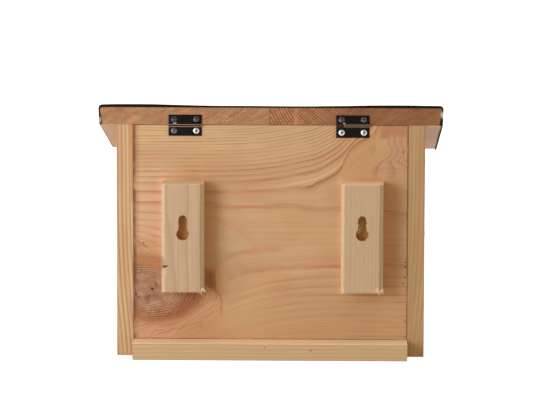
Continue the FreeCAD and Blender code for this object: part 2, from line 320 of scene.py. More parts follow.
knotLook = {
    **tints(core=(170, 119, 86), dark=(130, 84, 58), grey=(192, 151, 124), rim=(180, 122, 82),
            red=(170, 106, 66), line=(108, 54, 24), arc=(222, 182, 142), top=(198, 130, 66),
            halo=(206, 148, 103), branch=(160, 104, 58), streak=(182, 118, 82), pith=(84, 40, 16),
            bark=(142, 88, 36), barkEdge=(168, 112, 58)),
    "u": -105.1, "z": 60.0, "wide": 34.0, "wider": 9.0, "tall": 27.5, "lean": 0.3, "rings": 15.0,
    "lateSharp": 1.1, "returnAt": 0.65, "yearSpread": 0.6,
    # dark places: u, z, half width, half height and share
    "darks": ((-105.1, 60.0, 1.7, 1.4), (-119.7, 55.2, 1.7, 2.2, 0.8), (-117.2, 52.6, 1.5, 1.1, 0.5),
              (-120.0, 71.0, 12.0, 18.0, 0.2), (-99.0, 57.0, 8.0, 9.0, 0.17)),
    # branch above it: height where it starts, fall across, half width, where it is full, and share
    "branchLines": ((104.0, 0.62, 1.7, -112, 1.0), (97.5, 0.5, 1.3, -114, 0.5)), "branchFrom": -120,
    "branchSpot": (-121.0, 95.0, 11.0, 9.0, 0.3),
    "barkRight": -48.6, "barkTip": (-56.4, 62.6),
}


def knotPlace(u, z):  # how far out of the knot, 1 on its rim, and how much to its lower right
    look = knotLook
    up = z - look["z"]
    across = u - look["u"] + up.over(0.0) * look["lean"]
    wide = across / (look["wide"] + look["wider"] * across.smooth(0, 25))
    tall = up / look["tall"]
    reach = (wide * wide + tall * tall).root()
    reach = reach + stray(u, 0.06, z, 0.06, 0.12) + stray(u, 0.35, z, 0.35, 0.04)
    return reach, ((wide * 0.8 - tall * 0.6) / reach.over(0.05)).smooth(0.2, 0.8)


def upperLines(u, lifted, guides):  # years above the middle, and their pale edges
    look = panelLook
    lineC, lineB, lineA = guides
    past = (lifted - lineA).over(0.0)
    ring = (lifted.ramp(lineC - 11, lineC) + lifted.ramp((lineB - 11).over(lineC), lineB)
            + lifted.ramp((lineA - 9).over(lineB), lineA)
            + past / look["spacing"] * (1 + past * look["closing"]))
    part = ring - ring.math("FLOOR")
    edge = (part * (lifted - lineB).over(4.0) / 4).smooth(0.16, 0.0) * (ring > 2.0)
    kink = (lifted - lineB).smooth(-6.0, -0.6) * (lifted < lineB) * u.smooth(35, 41) * u.smooth(90, 80)
    firm = (lifted - lineC + 1).size().smooth(2.8, 0.4) * u.smooth(-70, -50) * 0.7
    firm = firm.over((lifted - lineA + 1).size().smooth(2.4, 0.4) * u.smooth(-40, 10) * 0.8)
    both = u.smooth(-70, -50) * u.smooth(40, 20)
    firm = firm.over((lifted - lineB + 1).size().smooth(2.4, 0.4) * both * 0.55)
    return yearLines(ring, look).over(kink * 0.75).over(firm), edge


def lowerLines(u, z, height, sag, reach):  # years below the middle, round the knot and beside it
    look = panelLook
    lowLook = {**look, "lateSharp": look["lowSharp"], "returnAt": look["lowReturn"]}
    flow = (height + sag * (0.45 + 0.5 * z.smooth(78, 58))).curve(look["lowYears"])
    fan = yearLines(reach * 13 + 3, lowLook) * reach.smooth(2.1, 1.3) * reach.smooth(0.85, 1.0) * 0.75
    fan = fan * z.smooth(78, 50).over(u.smooth(-88, -96)) * u.smooth(-38, -48).over(z.smooth(40, 30))
    strong = (0.7 + 0.3 * flow.smooth(1.15, 0.95)) * (0.55 + 0.45 * u.smooth(-10, 60))
    strong = strong * reach.smooth(1.4, 2.0) * (1 - 0.4 * z.smooth(58, 38))
    years = (flow - 0.2).over(0.0)
    thin = yearLines(years * 3 + 40, lowLook) * strong * 0.3
    lower = fan.over(yearLines(years + 20, lowLook) * strong).over(thin)
    dip = (u + 98) * (0.05 + 0.35 * z.smooth(128, 100))
    beside = (look["besideFrom"] - height - dip) / look["besideSpacing"]
    beside = yearLines(beside, {**look, "returnAt": look["lowReturn"]}) * 0.55
    return lower.over(beside * u.smooth(-40, -70) * z.smooth(139, 132) * z.smooth(86, 92))


def panelLines(u, z, reach):  # upper lines, their pale edges, lower lines, and the height that fibres follow
    look = panelLook
    sway = stray(u, 0.008, z, 0.02, 2.4) + stray(u, 0.05, z, 0.14)
    height = z + sway + stray(u, 0.16, z, 0.6, 0.7)
    guides = [u.curve(look[name]) for name in ("lineC", "lineB", "lineA")]
    bow = (look["sagFrom"] - u).over(0.0)
    sag = bow * bow * bow * look["sag"]
    upper, edge = upperLines(u, height - look["lift"], guides)
    follow = height - (guides[-1] - 156) * z.smooth(138, 158) + sag * z.smooth(80, 60)
    return upper, edge, lowerLines(u, z, height, sag, reach), follow


def panelGround(u, z):  # pale wood between the lines, in broad patches
    look = panelLook
    ground = blur(u, 0.014, z, 0.024).smooth(0.38, 0.62).pick(look["pale"], look["rosy"])
    for name, share, runs in look["patches"]:
        ground = (within(u, z, runs) * share).pick(ground, look[name])
    # heart of the board, which runs out in a rounded finger, and a reddish arch under it
    rim = u - z.curve(look["finger"]) + stray(u, 0.1, z, 0.1, 5)
    tip = within(u, z, look["fingerEnds"])
    ground = (rim.smooth(2, -3) * tip * 0.8).pick(ground, look["fingerPale"])
    ground = ((rim - 1).size().smooth(3.5, 0.5) * tip * 0.45).pick(ground, look["fingerRim"])
    arch = (z - u.curve(look["arch"])).size().smooth(4.0, 0.5) * within(u, z, look["archEnds"])
    ground = (arch * 0.38).pick(ground, look["lateRed"])
    # red wood in the upper right-hand corner
    ragged = blur(u, 0.25, z, 0.25, detail=3.0) * 4
    corner = (z - u * 0.06 + ragged).smooth(190.2, 191.6) * (u + ragged).smooth(96, 103)
    return (corner * (0.9 - 0.2 * z.smooth(201.5, 204.5))).pick(ground, look["red"])


def knotRings(u, z, reach, lowRight, blotch):  # the knot's own wood
    look = knotLook
    phase = reach * look["rings"] + blotch * 1.3 + blur(u, 0.5, z, 0.5) * 0.5
    ring = yearLines(phase, look)
    dark = blotch.smooth(0.5, 0.62) * reach.smooth(0.75, 0.35)
    inside = (dark * 0.85).pick(look["core"], look["dark"])
    grey = blur(u, 0.1, z, 0.13, 7.0, 3.0).smooth(0.45, 0.65) * reach.smooth(0.75, 0.45)
    inside = (grey * 0.75).pick(inside, look["grey"])
    inside = reach.smooth(0.6, 0.88).pick(inside, lowRight.pick(look["rim"], look["red"]))
    firm = 0.15 + 0.35 * reach.smooth(0.5, 0.85) + 0.35 * lowRight * reach.smooth(0.66, 0.9)
    inside = (ring * (firm * (0.5 + blotch))).pick(inside, look["line"])
    arcs = (phase - phase.math("FLOOR")).smooth(0.38, 0.1) * reach.smooth(0.25, 0.45) * reach.smooth(1.0, 0.8)
    arcs = arcs * blotch.smooth(0.42, 0.56) * (0.7 - 0.6 * u.smooth(-88, -78))
    return arcs.pick(inside, look["arc"])


def knotWood(u, z, ground):  # the knot, its branch, its dark heart and the bark beside it, over the ground
    look = knotLook
    reach, lowRight = knotPlace(u, z)
    blotch = blur(u, 0.16, z, 0.16, detail=3.0)
    colour = (reach.smooth(2.0, 1.0) * 0.6).pick(ground, look["halo"])
    colour = reach.smooth(1.26, 0.95).pick(colour, knotRings(u, z, reach, lowRight, blotch))
    streaks = blur(u + z * 0.3, 0.03, z - u * 0.3, 0.4, 13.0, 3.0, 0.6).smooth(0.5, 0.64)
    streaks = streaks * reach.smooth(1.0, 1.2) * z.smooth(44, 34) * u.smooth(-45, -62)
    colour = (streaks * 0.6).pick(colour, look["streak"])
    layers = blur(u, 0.03, z + u * 0.2, 0.5, detail=3.0).smooth(0.3, 0.65)
    band = (z - 87 + (u + 121) * 0.24).size().smooth(5.5, 1.5) * u.smooth(-86, -98) * layers
    colour = (band * 0.65).pick(colour, look["top"])
    branch = reduce(Wire.over, [
        (z - start + (u - look["branchFrom"]) * fall).size().smooth(wide, 0.3) * u.smooth(-104, end) * share
        for start, fall, wide, end, share in look["branchLines"]])
    branch = (branch * (0.3 + 0.8 * blotch)).over(spot(u, z, *look["branchSpot"]))
    colour = branch.pick(colour, look["branch"])
    colour = spots(u, z, look["darks"]).pick(colour, look["pith"])
    # bark that runs down to a point
    tipU, tipZ = look["barkTip"]
    right = (look["barkRight"] + (66 - z).over(0.0) * 0.2 - u + (blotch - 0.5) * 2).smooth(-0.7, 1.0)
    bark = right * (z - tipZ + (u - tipU) * 0.75 + (blotch - 0.5) * 3).smooth(-1.2, 1.4) * z.smooth(82, 72)
    barkTint = u.smooth(-54, -50).pick(look["bark"], look["barkEdge"])
    return reach, (bark * (0.5 + 0.35 * u.smooth(-58, -53))).pick(colour, barkTint)


def panelMarks(u, y, z, colour):  # a red thread, pits, dark joints, and painted shade and light beside the battens and the left-hand side board
    look = panelLook
    thread = (u - z.curve(look["thread"])).size().smooth(1.7, 0.3) * within(u, z, look["threadEnds"])
    colour = (thread * 0.65).pick(colour, look["lateRed"])
    colour = spots(u, z, look["pits"]).pick(colour, look["pit"])
    colour = spot(u, z, *look["shadeSpot"]).pick(colour, look["shade"])
    # dark joints with the floor and the sides, and painted shade in a wider band beside the left-hand side
    # board
    fromLeft, fromRight = look["half"] + u, look["half"] - u
    joint = (z - look["foot"]).smooth(1.2, 0.2).over(fromRight.smooth(1.6, 0.2))
    # painted shade: the wider bands beside the left-hand side board
    joint = joint.over(fromLeft.smooth(4.0, 0.8) * 1.15)
    joint = joint.over(fromLeft.smooth(7.0, 1.5) * (0.55 - 0.5 * (z - 83).size().smooth(18, 10)))
    crumb = blur(u, 0.09, z, 0.09, y * 0.1, 3.0).smooth(0.25, 0.6)
    colour = (joint * (0.25 + 0.5 * crumb)).pick(colour, look["seam"])
    # painted shade: darker right of the bark and in a strip beside the right-hand side board
    dull = spot(u, z, *look["paintedDimSpot"]).over(within(u, z, look["paintedDimStrip"]) * 0.13)
    colour = colour.scaled(1 - dull)
    # painted shade on the shadowed side of each batten, and painted light on its lit side and above it
    for side in ("left", "right"):
        low, high = (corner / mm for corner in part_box(side + "_batten"))
        near = z.smooth(low.z - 8, low.z + 1) * z.smooth(high.z + 5, high.z - 3)
        paintedShadowSide = (u + low.x).smooth(18, 6) * (u > -low.x - 20) * near
        paintedLitSide = (u + high.x).smooth(-10, 0) * (u < 20 - high.x) * near
        lit = 1 + 0.1 * (u + high.x).smooth(-5.0, -0.5) * (u < 10 - high.x) * near
        factor = joined(*(lit - shadeDrop * paintedShadowSide + lightRise * paintedLitSide for shadeDrop, lightRise in look["besideBattens"]))
        colour = colour.node("ShaderNodeVectorMath", {"operation": "MULTIPLY"}, {0: colour, 1: factor})
        above = (z - high.z).smooth(14, 2) * (z > high.z - 3)
        colour = colour.scaled(1 + 0.09 * above * (u + (low.x + high.x) / 2).size().smooth(26, 18))
    return colour


def panelWood():
    look = panelLook
    made, wire = newMaterial("pinePanel")
    x, y, z = objectSpace(wire)
    u = -x
    reach, knotted = knotWood(u, z, panelGround(u, z))
    upper, edge, lower, follow = panelLines(u, z, reach)
    vary = blur(u, 0.025, follow, 0.35).smooth(0.25, 0.62)
    broken = blur(u, 0.07, follow, 1.3, detail=3.0, rough=0.6)
    line = upper.over(lower) * (0.2 + 0.8 * vary) * (0.5 + 0.95 * broken)
    line = line * (1 + 0.5 * u.smooth(10, 50) * z.smooth(140, 155))
    # swirl beside the right-hand edge
    swirl = (u - z.curve(look["swirlEdge"])) / (5.5 + 10.5 * z.smooth(178, 166)) + 1
    inSwirl = within(u, z, look["swirlEnds"]) * swirl.smooth(0.3, 0.9)
    curls = yearLines(swirl, {**look, "returnAt": 0.8, "yearSpread": 0.2}) * 0.7
    line = line * (1 - inSwirl) + inSwirl * curls
    colour = (inSwirl * 0.7).pick(knotted, look["swirl"])
    reddish = blur(u, 0.012, follow, 0.1, 3.0).smooth(0.48, 0.62) * 0.8
    reddish = reddish.over(z.smooth(74, 80) * z.smooth(90, 84) * u.smooth(-30, 10))
    colour = line.pick(colour, reddish.pick(look["late"], look["lateRed"]))
    colour = (edge * u.smooth(-10, 40) * (1 - inSwirl) * 0.9).pick(colour, look["bright"])
    streak = blur(u, 0.012, follow, 0.45, y * 0.1, 3.0, 0.6)
    cloud = stray(u, 0.022, follow, 0.05, 1.0, 11.0, 3.0, 0.55) * u.smooth(-70, -30)
    colour = colour.scaled(0.86 + streak * 0.28 + cloud * 0.16)
    return closeWood(made, panelMarks(u, y, z, colour), fibres(u, follow, y, look), line, look)


# sides, floor and battens: boards cut from a log whose heart lies beside them
sideLook = {
    **plainWood,
    **tints(pale=(215, 181, 137), rosy=(209, 166, 125), late=(172, 112, 68), amber=(198, 130, 68)),
    "lateSharp": 1.6, "returnAt": 0.7, "yearSpread": 0.45, "contrast": 0.85, "fineYears": 2.3,
    "fineShare": 0.3, "heartOut": 40.0, "heartY": 20.0, "ringWidth": 1.85, "phase": 0.3,
    "bend": ((0, 8.1), (6, 7.7), (50, 3.7), (77, 1.6), (108, 0.0), (206, -1.3)),    # sideways drift by height
    "resinIn": 11.2, "resinTop": 204, "resinLean": 0.02, "resinShare": 0.75,
}
# darker copy of the side look: painted shade for the left-hand side's rear edge
shadedSideLook = {
    **sideLook, "contrast": 0.6,
    **tints(pale=(191, 154, 106), rosy=(186, 145, 101), late=(166, 124, 80), amber=(180, 142, 98)),
}
floorLook = {
    **plainWood,
    # the top face's tint is painted light
    **tints(pale=(205, 170, 126), late=(176, 132, 86), planed=(255, 226, 184), pin=(120, 74, 40)),
    "lateSharp": 2.4, "returnAt": 0.9, "yearSpread": 0.6, "contrast": 0.55,
    "heartY": 40.0, "heartZ": 62.0, "ringWidth": 2.0,
    "pins": ((-4.4, 12.0, 1.1, 0.8), (36.3, 9.3, 1.3, 0.9)), "pinShare": 0.7,
}
battenLook = {
    **plainWood,
    # worn and end are painted light, on the lit chamfer and the top end
    **tints(pale=(199, 164, 132), green=(196, 165, 126), late=(160, 125, 92), worn=(215, 182, 152),
            end=(215, 184, 151), hole=(200, 140, 66), torn=(150, 100, 56), curl=(212, 180, 140),
            knot=(88, 46, 0), knotShade=(172, 130, 88)),
    "lateSharp": 3.0, "returnAt": 0.9, "yearSpread": 0.5, "contrast": 0.6, "fibreAcross": 1.1,
    "fibreShade": 0.2, "relief": 0.25, "heartAside": 26.0, "heartY": 62.0, "ringWidth": 4.4,
    # tint and spots of each mark: u, z, half width, half height and share, and the depth they come in over
    "marks": (("knotShade", ((-18.2, 85.5, 3.6, 8.0, 0.75),)), ("curl", ((-16.4, 78.4, 2.6, 5.0, 0.6),)),
              ("knot", ((-16.2, 83.4, 2.0, 1.4, 0.95), (-14.3, 84.1, 1.7, 1.0, 0.95)))),
    "marksFrom": (107, 114),
}
plainBattenLook = {
    # worn and end are painted light here too
    **battenLook, **tints(worn=(222, 184, 148), end=(233, 203, 172), curl=(226, 196, 150)),
    "contrast": 0.22, "heartAside": 74.0, "ringWidth": 3.1,
    "marks": (("curl", ((13.5, 62.9, 2.2, 3.6, 0.7),)),), "marksFrom": (0, 1),
}
keyhole = {"z": 112.4, "round": 5.5, "slot": 3.6, "slotEnd": 125.5}     # as in the solids, in millimetres


def logRings(first, second, along, width, wander=2.0):  # distance from the heart in years, straying a little
    aside = stray(first, 0.03, second, 0.03, wander, along * 0.006)
    return (first * first + second * second).root() / width + aside


def sideTone(patch, line, look):
    ground = patch.pick(look["pale"], look["rosy"])
    return (line * look["contrast"]).pick(ground, look["late"])


def sideWood(name, node, look):
    made, wire = newMaterial(name)
    low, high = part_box(node)
    sign = 1 if low.x > 0 else -1
    outer = max(abs(low.x), abs(high.x)) / mm
    x, y, z = objectSpace(wire)
    inward = outer - x * sign
    place = inward - z.curve(look["bend"])
    ring = logRings(place + look["heartOut"], y - look["heartY"], z, look["ringWidth"], 0.7) + look["phase"]
    fine = yearLines(ring * look["fineYears"], look) * look["fineShare"]
    line = yearLines(ring, look).over(fine)
    patch = blur(place, 0.12, z, 0.012, y * 0.02).smooth(0.4, 0.6)
    rear = y.smooth(high.y / mm - 0.9, high.y / mm - 0.1)       # the given look is painted on the rear edge only, a darker copy on the left-hand side as painted shade
    colour = rear.pick(sideTone(patch, line, sideLook), sideTone(patch, line, look))
    # resin along the inner corner of the rear edge, high up
    resin = (inward - look["resinIn"] - (look["resinTop"] - z) * look["resinLean"]).smooth(0.0, 0.9)
    resin = resin * z.smooth(130, 142) * y.smooth(86, 92)
    colour = (resin * look["resinShare"]).pick(colour, look["amber"])
    return closeWood(made, colour, fibres(z, place, y, look), line, look)


def floorWood():
    look = floorLook
    made, wire = newMaterial("pineFloor")
    x, y, z = objectSpace(wire)
    line = yearLines(logRings(y - look["heartY"], z - look["heartZ"], x, look["ringWidth"]), look)
    # painted light: the top face is drawn lighter than the rear edge
    ground = z.smooth(14.4, 14.95).pick(look["pale"], look["planed"])
    colour = (line * look["contrast"]).pick(ground, look["late"])
    colour = (spots(-x, z, look["pins"]) * look["pinShare"]).pick(colour, look["pin"])
    return closeWood(made, colour, fibres(x, z, y, look), line, look)


def tornRim(u, z, place):  # broken wood round the keyhole's mouth
    rise = (z - keyhole["slotEnd"]).over(0.0)
    drop = z - keyhole["z"]
    slot = (u * u + rise * rise).root() - keyhole["slot"] + (drop < 0.0) * 9
    rim = slot.under((u * u + drop * drop).root() - keyhole["round"])
    return (rim - stray(u, 0.55, z, 0.55, 3.6, place)).smooth(0.2, -0.2) * rim.smooth(1.1, 0.6)


def battenWood(side):
    look = battenLook if side == "right" else plainBattenLook
    made, wire = newMaterial(side + "BattenWood")
    low, high = (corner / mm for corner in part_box(side + "_batten"))
    x, y, z = objectSpace(wire)
    middle = (low.x + high.x) / 2
    u = middle - x
    ring = logRings(x - middle - look["heartAside"], y - look["heartY"], z, look["ringWidth"])
    line = yearLines(ring, look)
    streak = blur(x, 0.22, z, 0.004, y * 0.05, 3.0, 0.6)
    ground = streak.smooth(0.35, 0.65).pick(look["pale"], look["green"])
    thin = blur(x, 0.9, z, 0.006, y * 0.1).smooth(0.56, 0.72)
    colour = (line * look["contrast"]).over(thin * 0.45).pick(ground, look["late"])
    # painted light on the lit chamfer, its ragged width from wane, and on the top end; dark keyhole
    worn = (u + stray(z, 0.12, z, 0.05, 1.6, 0.0, 3.0, 0.6)).smooth(-15.3, -16.6) * y.smooth(114.0, 117.5)
    top = z.smooth(high.z - 1.5, high.z - 0.2)
    colour = worn.over(top * 0.25).pick(colour, look["worn"])
    colour = z.smooth(high.z - 0.7, high.z - 0.1).pick(colour, look["end"])
    hole = y.smooth(119.6, 117.5) * u.size().smooth(12, 10) * (z - 115).size().smooth(24, 20)
    colour = (hole * 0.85).pick(colour, look["hole"])
    colour = (tornRim(u, z, low.x) * y.smooth(118.5, 119.5) * 0.75).pick(colour, look["torn"])
    for name, rows in look["marks"]:
        colour = (spots(u, z, rows) * y.smooth(*look["marksFrom"])).pick(colour, look[name])
    return closeWood(made, colour, fibres(z, x, y, look), line, look)


# lid board: two glued planks, end grain at the rear
roofLook = {
    **plainWood,
    **tints(left=(175, 124, 83), near=(186, 128, 83), far=(149, 98, 58), late=(104, 52, 25),
            under=(213, 177, 139), underDull=(214, 182, 162), glint=(206, 172, 126), pore=(228, 184, 136)),
    "lateSharp": 1.3, "returnAt": 0.72, "yearSpread": 0.45, "fibreAlong": 0.03, "fibreShade": 0.16,
    "glueX": 0.4, "coarseHeart": (114.0, 67.0), "fineHeart": (114.0, 88.0), "coarseRing": 2.4,
    "fineRing": 2.1, "slantRing": 4.6, "wander": 2.5,
    "slant": (0.53, 0.85),      # across and down the slanted years of the left-hand plank
}


def roofWood():
    look = roofLook
    made, wire = newMaterial("pineLid")
    x, back, up = lidSpace(wire)
    u = -x
    wander = stray(u, 0.05, up, 0.05, 1.0, back * 0.006) * look["wander"]

    def heartDistance(heart):
        aside, above = u - heart[0], up - heart[1]
        return (aside * aside + above * above).root() + wander

    coarse = yearLines(heartDistance(look["coarseHeart"]) / look["coarseRing"], look)
    coarse = coarse * u.smooth(21.5, 19.5) * 0.95
    fine = yearLines(heartDistance(look["fineHeart"]) / look["fineRing"], look) * u.smooth(22.5, 25.5)
    fine = fine * (0.25 + 0.75 * u.smooth(100, 70))
    level, steep = look["slant"]
    slope = u * level - up * steep
    slanted = yearLines(slope / look["slantRing"] + wander + 60, look)
    slanted = slanted * (0.03 + 0.2 * blur(u, 0.03, up, 0.08).smooth(0.4, 0.65))
    isRight = u > -look["glueX"]
    line = (coarse + fine) * isRight + slanted * (1 - isRight)
    line = line.over((u + look["glueX"] + 0.6).size().smooth(0.9, 0.2) * 0.6)
    ground = u.smooth(32, 84).pick(look["near"], look["far"])
    ground = isRight.pick(look["left"], ground)
    top = up.smooth(11.5, 14.0) * u.smooth(-82, -92) * u.smooth(-135, -115)
    ground = (top * blur(u, 0.1, up, 0.4).smooth(0.3, 0.7) * 0.6).pick(ground, look["glint"])
    mottle = blur(u, 0.12, up, 0.2, back * 0.01, 3.0, 0.6)
    pale = joined(u * 0.09 - up * 0.14, u * 0.02 + up * 0.03).noise(1.0, 3.0, 0.6).smooth(0.5, 0.72)
    stroke = blur(slope, 0.3, u * steep + up * level, 0.045, 0.0, 3.0, 0.6)
    ground = ground.scaled(0.1 + mottle * 0.8 + pale * 0.22 + stroke * 0.86)
    colour = line.pick(ground, look["late"])
    place = joined(u, up, back * 0.1)
    specks = place.node("ShaderNodeTexVoronoi", None, {"Vector": place, "Scale": 0.55})
    pores = specks.smooth(0.3, 0.12) * (joined(u, up).noise(0.12) > 0.5)
    pores = pores * u.smooth(-72, -52) * u.smooth(6, -10)
    colour = (pores * 0.7).pick(colour, look["pore"])
    under = u.smooth(-60, 60).pick(look["under"], look["underDull"])
    under = under.scaled(0.86 + 0.28 * blur(u, 0.16, back, 0.012, 5.0, 3.0, 0.6))
    under = (line * 0.2).pick(under, look["late"])
    colour = (up.smooth(0.5, 0.1) * back.smooth(-0.2, -1.2)).pick(colour, under)
    return closeWood(made, colour, fibres(back, u, up, look), line, look)


# felt, metal and the clear front
feltLook = tints(body=(19, 11, 6), grit=(98, 94, 90), torn=(222, 216, 208))
feltBackLook = tints(body=(196, 186, 176), grit=(226, 220, 212), torn=(222, 216, 208))
# painted light: near-white patch on the flaps' cut rear edges, for their lit pale inner faces: heights where
# it starts, is full, is full no more and ends
feltPaintedLight = {"from": 149.5, "right": (-0.5, 2.0, 4.0, 7.5), "left": (5.0, 8.5, 10.0, 13.5)}


def feltMaterial(name, look):
    made, wire = newMaterial(name)
    place = joined(*objectSpace(wire))
    across, back, up = lidSpace(wire)
    grit = place.node("ShaderNodeTexVoronoi", None, {"Vector": place, "Scale": 1.6})
    onTop = back.smooth(0.3, 0.0)       # the cut rear edge is bare
    grain = grit.smooth(0.55, 0.15) * onTop
    chance = grit.other("Color").node("ShaderNodeSeparateColor", None, {0: grit.other("Color")})
    patch = place.noise(0.03, 3.0)
    share = grain * (0.1 + 0.9 * chance ** 3) * (0.2 + patch) * (0.3 + 1.4 * place.noise(0.22, 3.0, 0.65))
    colour = (share * 0.8).pick(look["body"], look["grit"])

    def litRun(start, full, last, end):
        return up.smooth(start, full) * up.smooth(end, last)

    # painted light: near-white patch at the rear corners, for the flaps' lit pale inner faces
    torn = (across > feltPaintedLight["from"]) * litRun(*feltPaintedLight["right"]) * 0.7
    torn = torn.over((across < -feltPaintedLight["from"]) * litRun(*feltPaintedLight["left"])) * (1 - onTop)
    colour = (torn * (0.6 + 0.4 * patch)).pick(colour, look["torn"])
    return closeMaterial(made, {"Base Color": colour, "Roughness": 0.92 - share * 0.25,
                                "Specular IOR Level": 0.14, "Normal": bumped(grain + patch, 0.7, 0.35)})


hingeLook = {
    **tints(paint=(18, 11, 6), worn=(112, 92, 78), bare=(172, 142, 122), rust=(80, 38, 28),
            chip=(204, 194, 180)),
    "pinY": 96.9, "pinZ": 206.4, "knuckle": 2.2,
    "rustEnd": -65.2,           # outer end of the left hinge's inner knuckle
    "bareLines": ((0.7, 0.5, 0.1), (-1.1, 0.6, 0.2)),                   # height over the pin, half widths
    "chips": ((84.6, 208.1, 2.0, 0.5), (-64.9, 208.3, 1.1, 0.7)),       # x, z, half width, half height
}


def hingeMaterial():
    look = hingeLook
    made, wire = newMaterial("blackHinge")
    x, y, z = objectSpace(wire)
    place = joined(x, y, z)
    orange = place.noise(1.5, 2.0)
    out, up = y - look["pinY"], z - look["pinZ"]
    onKnuckle = (out.size().over(up.size()) < look["knuckle"]) * (out > -0.6)
    # the left hinge's knuckles are worn, and rusty at the inner one; the right one's have two bare lines
    worn = onKnuckle * (x < look["rustEnd"]) * (0.5 + 0.5 * place.noise(0.5, 2.0))
    colour = worn.pick(look["paint"], look["worn"])
    bare = reduce(Wire.over, [(up - at).size().smooth(wide, full) for at, wide, full in look["bareLines"]])
    bare = (bare * (0.5 + place.noise(0.4, 2.0))).under(1.0)
    colour = (onKnuckle * (x > 0.0) * bare * 0.8).pick(colour, look["bare"])
    colour = (onKnuckle * (x > look["rustEnd"]) * (x < 0.0) * 0.8).pick(colour, look["rust"])
    chip = place.noise(0.7, 4.0, 0.65).smooth(0.71, 0.75).over(spots(x, z, look["chips"]))
    colour = chip.pick(colour, look["chip"])
    return closeMaterial(made, {"Base Color": colour, "Roughness": 0.3 + orange * 0.2, "Metallic": chip,
                                "Specular IOR Level": 0.07, "Normal": bumped(orange, 0.15, 0.1)})


zincLook = tints(bright=(212, 211, 209), dull=(172, 172, 170), tarnish=(60, 62, 66), recess=(78, 80, 84))
# darker copy for the lid screws, whose crowns face upwards: painted darker reflections
darkReflectionZincLook = {**zincLook, **tints(bright=(92, 90, 88), dull=(56, 54, 53))}
tarnished = {"from": 80.0, "to": 92.0, "above": 180.0}       # where the right hinge's outer screws are


def zincMaterial(name, look):
    made, wire = newMaterial(name)
    x, y, z = objectSpace(wire)
    cloud = joined(x, y, z).noise(0.8, 3.0, 0.6)
    scratch = blur(x, 0.4, y, 4, z * 4, 3.0, 0.6)
    colour = cloud.smooth(0.3, 0.7).pick(look["dull"], look["bright"])
    # the right hinge's outer screws have darker crowns
    tarnish = (x > tarnished["from"]) * (x < tarnished["to"]) * (z > tarnished["above"])
    colour = (tarnish * 0.85).pick(colour, look["tarnish"])
    # painted shade: the cross slots in the heads are drawn darker
    recess = wire.node("ShaderNodeAttribute", {"attribute_name": "recess"}, out="Fac")
    colour = (recess * 0.9).pick(colour, look["recess"])
    return closeMaterial(made, {"Base Color": colour, "Metallic": 1.0, "Roughness": 0.34 + scratch * 0.2,
                                "Normal": bumped(scratch, 0.1, 0.05)})


acrylicLook = {"body": (0.93, 0.96, 0.96, 1.0), "mirror": (0.4, 0.4, 0.4, 1.0), "bends": 1.49, "rough": 0.015,
               "smear": 0.06}


def acrylicMaterial():
    look = acrylicLook
    made, wire = newMaterial("clearAcrylic")
    x, y, z = objectSpace(wire)
    smear = joined(x * 0.02, y, z * 0.035).noise(1.0, 4.0, 0.6).smooth(0.45, 0.8)
    rough = look["rough"] + smear * look["smear"]
    return closeMaterial(made, {"Base Color": look["body"], "Roughness": rough, "IOR": look["bends"],
                                "Specular Tint": look["mirror"], "Transmission Weight": 1.0})


def dress(node, material):
    mesh = nodes[node].data
    mesh.materials.clear()
    mesh.materials.append(material)


zinc = zincMaterial("brightZinc", zincLook)
darkReflectionZinc = zincMaterial("zincDarkReflection", darkReflectionZincLook)
blackHinge = hingeMaterial()
felt = feltMaterial("bitumenFelt", feltLook)
feltBack = feltMaterial("sandedFeltBack", feltBackLook)
lidPine = roofWood()
dress("back_panel", panelWood())
dress("floor_board", floorWood())
dress("right_side", sideWood("pineSideRight", "right_side", sideLook))
dress("left_side", sideWood("pineSideLeft", "left_side", shadedSideLook))
dress("roof_board", lidPine)
dress("front_pane", acrylicMaterial())
for side in ("left", "right"):
    dress(side + "_batten", battenWood(side))
    dress(side + "_hinge_pin", zinc)
print("materials made")


# pieces grown and modelled over the frame
def linked(name, data):
    made = bpy.data.objects.new(name, data)
    bpy.context.scene.collection.objects.link(made)
    return made


def meshFrom(name, shape):
    mesh = bpy.data.meshes.new(name)
    shape.to_mesh(mesh)
    shape.free()
    return mesh


def smoothed(mesh, degrees=35.0):
    mesh.polygons.foreach_set("use_smooth", [True] * len(mesh.polygons))
    mesh.set_sharp_from_angle(angle=math.radians(degrees))
    return mesh


def addPiece(name, mesh, body, slot, *stoodFor):
    made = linked(name, mesh)
    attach(made, body)
    if stoodFor:
        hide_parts(*stoodFor)
    print("piece", name, len(mesh.polygons), "faces")


def startTree(name, labels):
    tree = bpy.data.node_groups.new(name, "GeometryNodeTree")
    tree.interface.new_socket("Geometry", in_out="OUTPUT", socket_type="NodeSocketGeometry")
    tree.interface.new_socket("Geometry", in_out="INPUT", socket_type="NodeSocketGeometry")
    for label in labels:
        tree.interface.new_socket(label, in_out="INPUT", socket_type="NodeSocketFloat")
    start = Wire(tree).node("NodeGroupInput")
    return tree, {label: start.other(label) for label in ("Geometry", *labels)}


def closeTree(geometry, material):
    real = geometry.node("GeometryNodeRealizeInstances", None, {"Geometry": geometry})
    painted = real.node("GeometryNodeSetMaterial", None, {"Geometry": real, "Material": material})
    painted.node("NodeGroupOutput", None, {"Geometry": painted})


def settled(carrier):  # the modified shape as a plain mesh
    shape = carrier.evaluated_get(bpy.context.evaluated_depsgraph_get())
    mesh = bpy.data.meshes.new_from_object(shape)
    mesh.name = carrier.name
    bpy.data.objects.remove(carrier)
    return mesh


def grown(name, base, tree, values):
    carrier = linked(name, base)
    modifier = carrier.modifiers.new(name, "NODES")
    modifier.node_group = tree
    for item in tree.interface.items_tree:
        if item.in_out == "INPUT" and item.name in values:
            modifier[item.identifier] = float(values[item.name])
    return settled(carrier)


